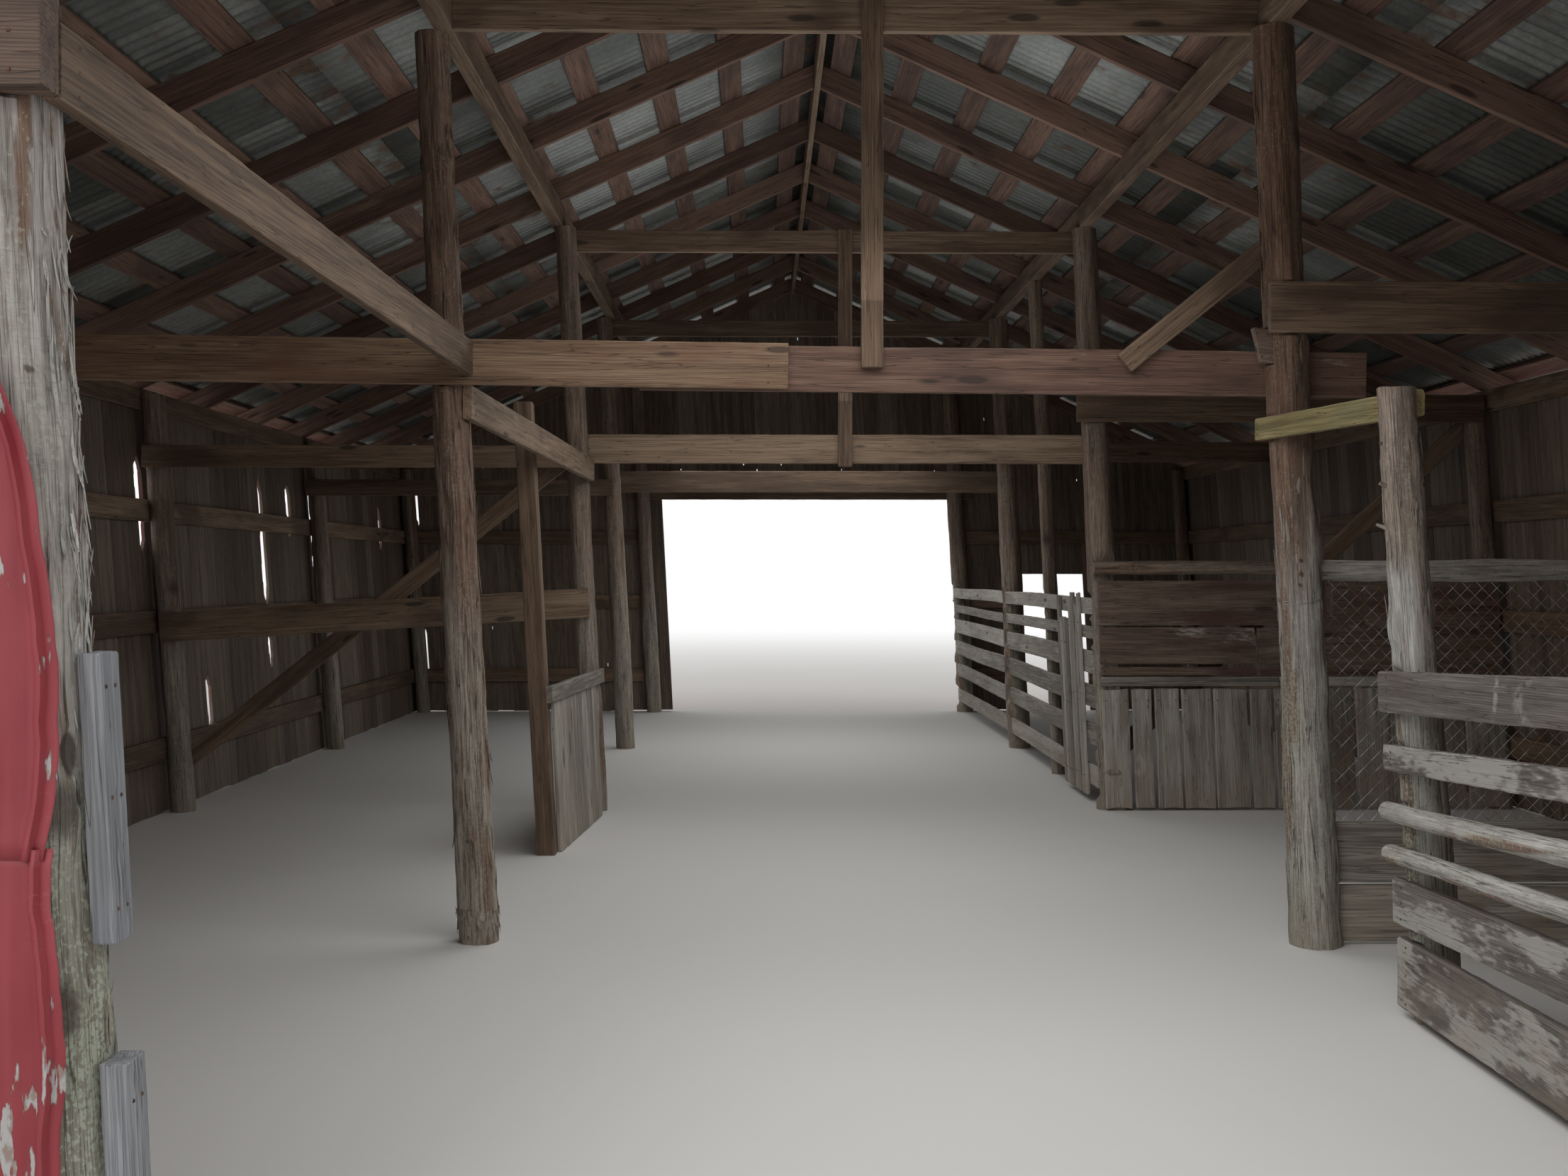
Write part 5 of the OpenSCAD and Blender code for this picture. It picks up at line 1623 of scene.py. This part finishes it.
def ribbed(x0, x1, z0, z1, seed, rows, pitch=RIB_PITCH, spacing=0.0085):
    """A ribbed sheet standing on the front, as a mesh in place, ribs upright."""
    mesh = grown(SHEET_FORM, Length=z1 - z0, Width=x1 - x0, Rows=rows,
                 Columns=int((x1 - x0) / spacing) + 2, Pitch=pitch, Depth=RIB_DEPTH, Crest=0.962,
                 Steepness=36.0, Dents=0.006, Seed=float(seed))
    mesh.transform(Matrix(((0, 1, 0, (x0 + x1) / 2), (0, 0, -1, -END_Y - 0.001),
                           (1, 0, 0, (z0 + z1) / 2), (0, 0, 0, 1))))
    return mesh


def front_nails(co, x0, x1, heights):
    """Nails beside the ribs of a red sheet, at the heights of the girts behind it."""
    for z in heights:
        for x in np.arange(x0 + 0.06, x1 - 0.02, RIB_PITCH):
            off = (co[:, 0] - x) ** 2 + ((co[:, 2] - z) * 0.3) ** 2
            near = int(np.argmin(off))
            if off[near] < 0.0004:
                nails.add(co[near] + np.array([0.0, -0.0012, z - co[near, 2]]), np.array(FORWARD))


def outline(points):
    """Corners of the convex outline round points in the plane, anticlockwise."""
    rows = sorted(set(map(tuple, np.round(points, 5))))
    chains = []
    for order in (rows, rows[::-1]):
        chain = []
        for p in order:
            while len(chain) > 1 and ((chain[-1][0] - chain[-2][0]) * (p[1] - chain[-2][1])
                                      - (chain[-1][1] - chain[-2][1]) * (p[0] - chain[-2][0])) <= 0:
                chain.pop()
            chain.append(p)
        chains += chain[:-1]
    return chains


def trimmed(mesh, corners):
    """Cuts an upright sheet to a convex outline of (x, z) corners."""
    bm = bmesh.new()
    bm.from_mesh(mesh)
    for (xa, za), (xb, zb) in zip(corners, corners[1:] + corners[:1]):
        way = Vector((xb - xa, 0, zb - za))
        if way.length < 1e-4:
            continue
        out = Vector((way.z, 0, -way.x)).normalized()
        bmesh.ops.bisect_plane(bm, geom=bm.verts[:] + bm.edges[:] + bm.faces[:],
                               plane_co=(xa, 0, za), plane_no=out, clear_outer=True)
    bm.to_mesh(mesh)
    bm.free()
    return mesh


# Panels trimmed to an outline, and the heights of their nails
FRONT_PANELS = (("front_gable", (2.78, 3.3, 3.9)), ("front_right_wall", (0.42, 1.22, 1.92)))


def front_metal():
    """Ribbed red sheets on the front, trimmed to each panel's outline."""
    for number, (name, heights) in enumerate(FRONT_PANELS):
        shell = Shell()
        for k, (points, _) in enumerate(solids_of(name)):
            (x0, _, z0), (x1, _, z1) = points.min(0), points.max(0)
            mesh = trimmed(ribbed(x0, x1, z0, z1, number * 9 + k, 14), outline(points[:, [0, 2]]))
            front_nails(points_of(mesh), x0, x1, heights)
            shell.add_mesh(mesh, tone=0.5)
        sheet_piece(name, shell, RED_METAL, FORWARD)


# How far in from the torn edge the sheets are warped, the stretch where they are nailed, and the
# steps and the depth of the edge's raggedness
WARP_REACH = 0.55
NAILED = (-3.9, -1.70)
RAGGED_STEPS = 140
RAGGED_DEPTH = 0.0025


def torn_sheet():
    """The left front sheets, the upper lapped over the lower, warped and torn towards the pole."""
    low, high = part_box("front_left_wall")
    shell = Shell()
    rng = random_of(97)
    for z0, z1, edges, proud, rows, heights in (
            (0.0, SHEET_LAP + 0.02, LOWER_EDGE, 0.0, 30, (0.42,)),
            (SHEET_LAP, high.z, UPPER_EDGE, 0.0016, 40, (1.22, 1.90))):
        edge_x = max(x for _, x in edges)
        half = (edge_x - low.x) / 2 - EDGE_RIB
        pitch = half / round(half / RIB_PITCH)
        mesh = ribbed(low.x, edge_x, z0, z1, 5, rows, pitch, 0.007)
        co = points_of(mesh)
        z = co[:, 2]
        ragged = np.interp(z, np.linspace(0, 2.4, RAGGED_STEPS),
                           rng.uniform(-RAGGED_DEPTH, RAGGED_DEPTH, RAGGED_STEPS))
        edge = np.interp(z, *np.transpose(edges)) + ragged
        share = np.clip((co[:, 0] - edge_x) / WARP_REACH + 1, 0, 1)
        co[:, 0] += (edge - edge_x) * share ** 1.15
        lift = 0.010 + 0.05 * smooth(z, 1.6, 2.3) + 0.006 * np.sin(z * 9.0)
        co[:, 1] -= share ** 8 * lift + proud
        co[:, 0] = np.maximum(co[:, 0], RACK * (1 - z / EAVE) - HALF_W - SKIN_OUT)
        mesh.vertices.foreach_set("co", co.ravel())
        front_nails(co, *NAILED, heights)
        shell.add_mesh(mesh, tone=0.5, edge=smooth(share, 0.93, 1.0))
    sheet_piece("front_left_wall", shell, RED_METAL, FORWARD)


# Woven wire: width of a mesh and radius of a strand; the tie's height on the pole, how often it
# goes round, its radius, steps in a turn and corners, how far it slopes to and fro and climbs in a
# turn, and how far its middle lies off the log
WIRE_CELL = 0.060
WIRE_R = 0.0014
TIE_HEIGHT = 1.395
TIE_TURNS = 1.6
TIE_R = 0.0015
TIE_STEPS = 40
TIE_SIDES = 5
TIE_SLOPE = 0.022
TIE_CLIMB = 0.010
TIE_OFF = 0.0010


def wire_tie(shell, surface):
    """Wire wound round a log, following its surface."""
    points, axis, _ = surface
    rng = random_of(7)
    level = np.abs(points[:, 2] - TIE_HEIGHT) < 0.09
    points, axis = points[level], axis[level]
    out = points - axis
    angle = angle_of(out)
    reach = np.linalg.norm(out, axis=1)
    path = []
    for k in range(int(TIE_STEPS * TIE_TURNS) + 1):
        a = k / TIE_STEPS * 2 * math.pi
        z = TIE_HEIGHT + TIE_SLOPE * math.sin(a + 0.6) + TIE_CLIMB * k / TIE_STEPS
        z += rng.uniform(-0.002, 0.002)
        arc = np.abs((angle - a + math.pi) % (2 * math.pi) - math.pi)
        close = (arc < 0.12) & (np.abs(points[:, 2] - z) < 0.02)
        r = reach[close].max() + TIE_OFF
        centre = axis[close].mean(0)
        path.append(np.array([centre[0] + r * math.cos(a), centre[1] + r * math.sin(a), z]))
    rings = []
    for k, p in enumerate(path):
        way = unit(path[min(k + 1, len(path) - 1)] - path[max(k - 1, 0)])
        side = unit(np.cross(way, (0, 0, 1)))
        up = np.cross(side, way)
        rings += [p + (side * math.cos(t) + up * math.sin(t)) * TIE_R
                  for t in np.arange(TIE_SIDES) * 2 * math.pi / TIE_SIDES]
    faces = swept_faces(len(path), TIE_SIDES, flip=True)
    quads = [face[-1:] + face[:-1] for face in faces[:-2]]
    shell.add(np.array(rings), quads + faces[-2:])


def wire_panel(pole):
    """Woven wire between the second bent's pole and the wall post, tied round the pole."""
    low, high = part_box("wire_mesh_panel")
    width = high.x - low.x
    height = high.z - low.z
    mesh = grown(WIRE_FORM, Width=width - WIRE_CELL / 2, Height=height, Strands=int(width / WIRE_CELL * 2),
                 Bends=int(height / WIRE_CELL * 2) + 1, Mesh=WIRE_CELL, Wire=WIRE_R)
    shell = Shell()
    shell.add_mesh(mesh, Matrix.Translation((low.x + WIRE_CELL / 4, (low.y + high.y) / 2, low.z)))
    wire_tie(shell, pole)
    finished("wire_mesh_panel", shell, WIRE, ["wire_mesh_panel"], 60)


def stage():
    """Pale floor, white background, soft lamps."""
    f = Finish("floor")
    seen = f.node("ShaderNodeLightPath", output="Is Camera Ray")
    x, y, _ = f.parts(f.place())
    far = (x * x + y * y).root().eased(11.0, 34.0)
    speck = f.noise(f.place(), (0.6, 0.6, 0.6), 2)
    colour = f.mix(speck, (0.70, 0.69, 0.67), (0.74, 0.73, 0.71))
    diffuse = f.node("ShaderNodeBsdfDiffuse", values={"Color": colour})
    white = f.node("ShaderNodeEmission", values={"Color": (1.0, 1.0, 1.0, 1.0), "Strength": 1.0})
    surface = f.node("ShaderNodeMixShader", values={0: far * seen, 1: diffuse, 2: white})
    f.node("ShaderNodeOutputMaterial", values={"Surface": surface})
    mesh = bpy.data.meshes.new("floor")
    r = FLOOR_REACH
    mesh.from_pydata([(-r, -r, 0), (r, -r, 0), (r, r, 0), (-r, r, 0)], [], [(0, 1, 2, 3)])
    mesh.materials.append(f.material)
    floor = placed("floor", mesh)

    world = bpy.data.worlds.new("studio")
    bpy.context.scene.world = world
    world.use_nodes = True
    w = Maker(world.node_tree)
    w.tree.nodes.clear()
    camera_ray, glossy, through = [w.node("ShaderNodeLightPath", output="Is %s Ray" % kind)
                                   for kind in ("Camera", "Glossy", "Transmission")]
    seen = (camera_ray + glossy + through).math("MINIMUM", 1.0)
    strength = seen * (1.0 - WORLD_LIGHT) + WORLD_LIGHT
    sky = w.node("ShaderNodeBackground", values={"Color": (1.0, 1.0, 1.0, 1.0), "Strength": strength})
    w.node("ShaderNodeOutputWorld", values={"Surface": sky})

    for name, place, size, power, turn in LAMPS:
        data = bpy.data.lights.new(name, "AREA")
        data.shape = "RECTANGLE"
        data.size, data.size_y = size
        data.energy = power
        placed(name, data, place, turn).visible_camera = False


FLOOR_REACH = 300.0
WORLD_LIGHT = 0.80
# Name, place, size, power and turn of each soft lamp
LAMPS = (
    ("key", (-12.0, -24.0, 16.0), (14.0, 14.0), 1500.0, (58.0, 0.0, -26.0)),
    ("aisle_front", (0.0, -5.4, 2.9), (2.2, 2.6), 40.0, (0.0, 0.0, 0.0)),
    ("aisle_middle", (0.0, -1.8, 2.9), (2.2, 2.6), 34.0, (0.0, 0.0, 0.0)),
    ("aisle_back", (0.0, 3.6, 2.6), (2.2, 4.0), 42.0, (0.0, 0.0, 0.0)),
    ("roof_up", (0.0, -2.0, 2.6), (2.4, 8.0), 30.0, (180.0, 0.0, 0.0)),
)


def camera():
    data = bpy.data.cameras.new("camera")
    data.lens = LENS
    data.sensor_width = SENSOR
    data.clip_end = FLOOR_REACH
    bpy.context.scene.camera = placed("camera", data, CAMERA_PLACE, CAMERA_TURN)


camera()
timbers()
ties()
cleats()
stall()
fence()
second_pole = poles()
pen()
side_wall(-1, "left_wall", 71, LEFT_SLITS)
side_wall(1, "right_wall", 73, RIGHT_SLITS)
back_wall()
roof(-1, "left_roof", 77)
roof(1, "right_roof", 79)
ridge_cap()
front_metal()
torn_sheet()
wire_panel(second_pole)
nails.piece("nail_heads")
roof_nails.piece("roof_nails", 0.0065)
stage()
bpy.context.scene.view_settings.view_transform = "Standard"
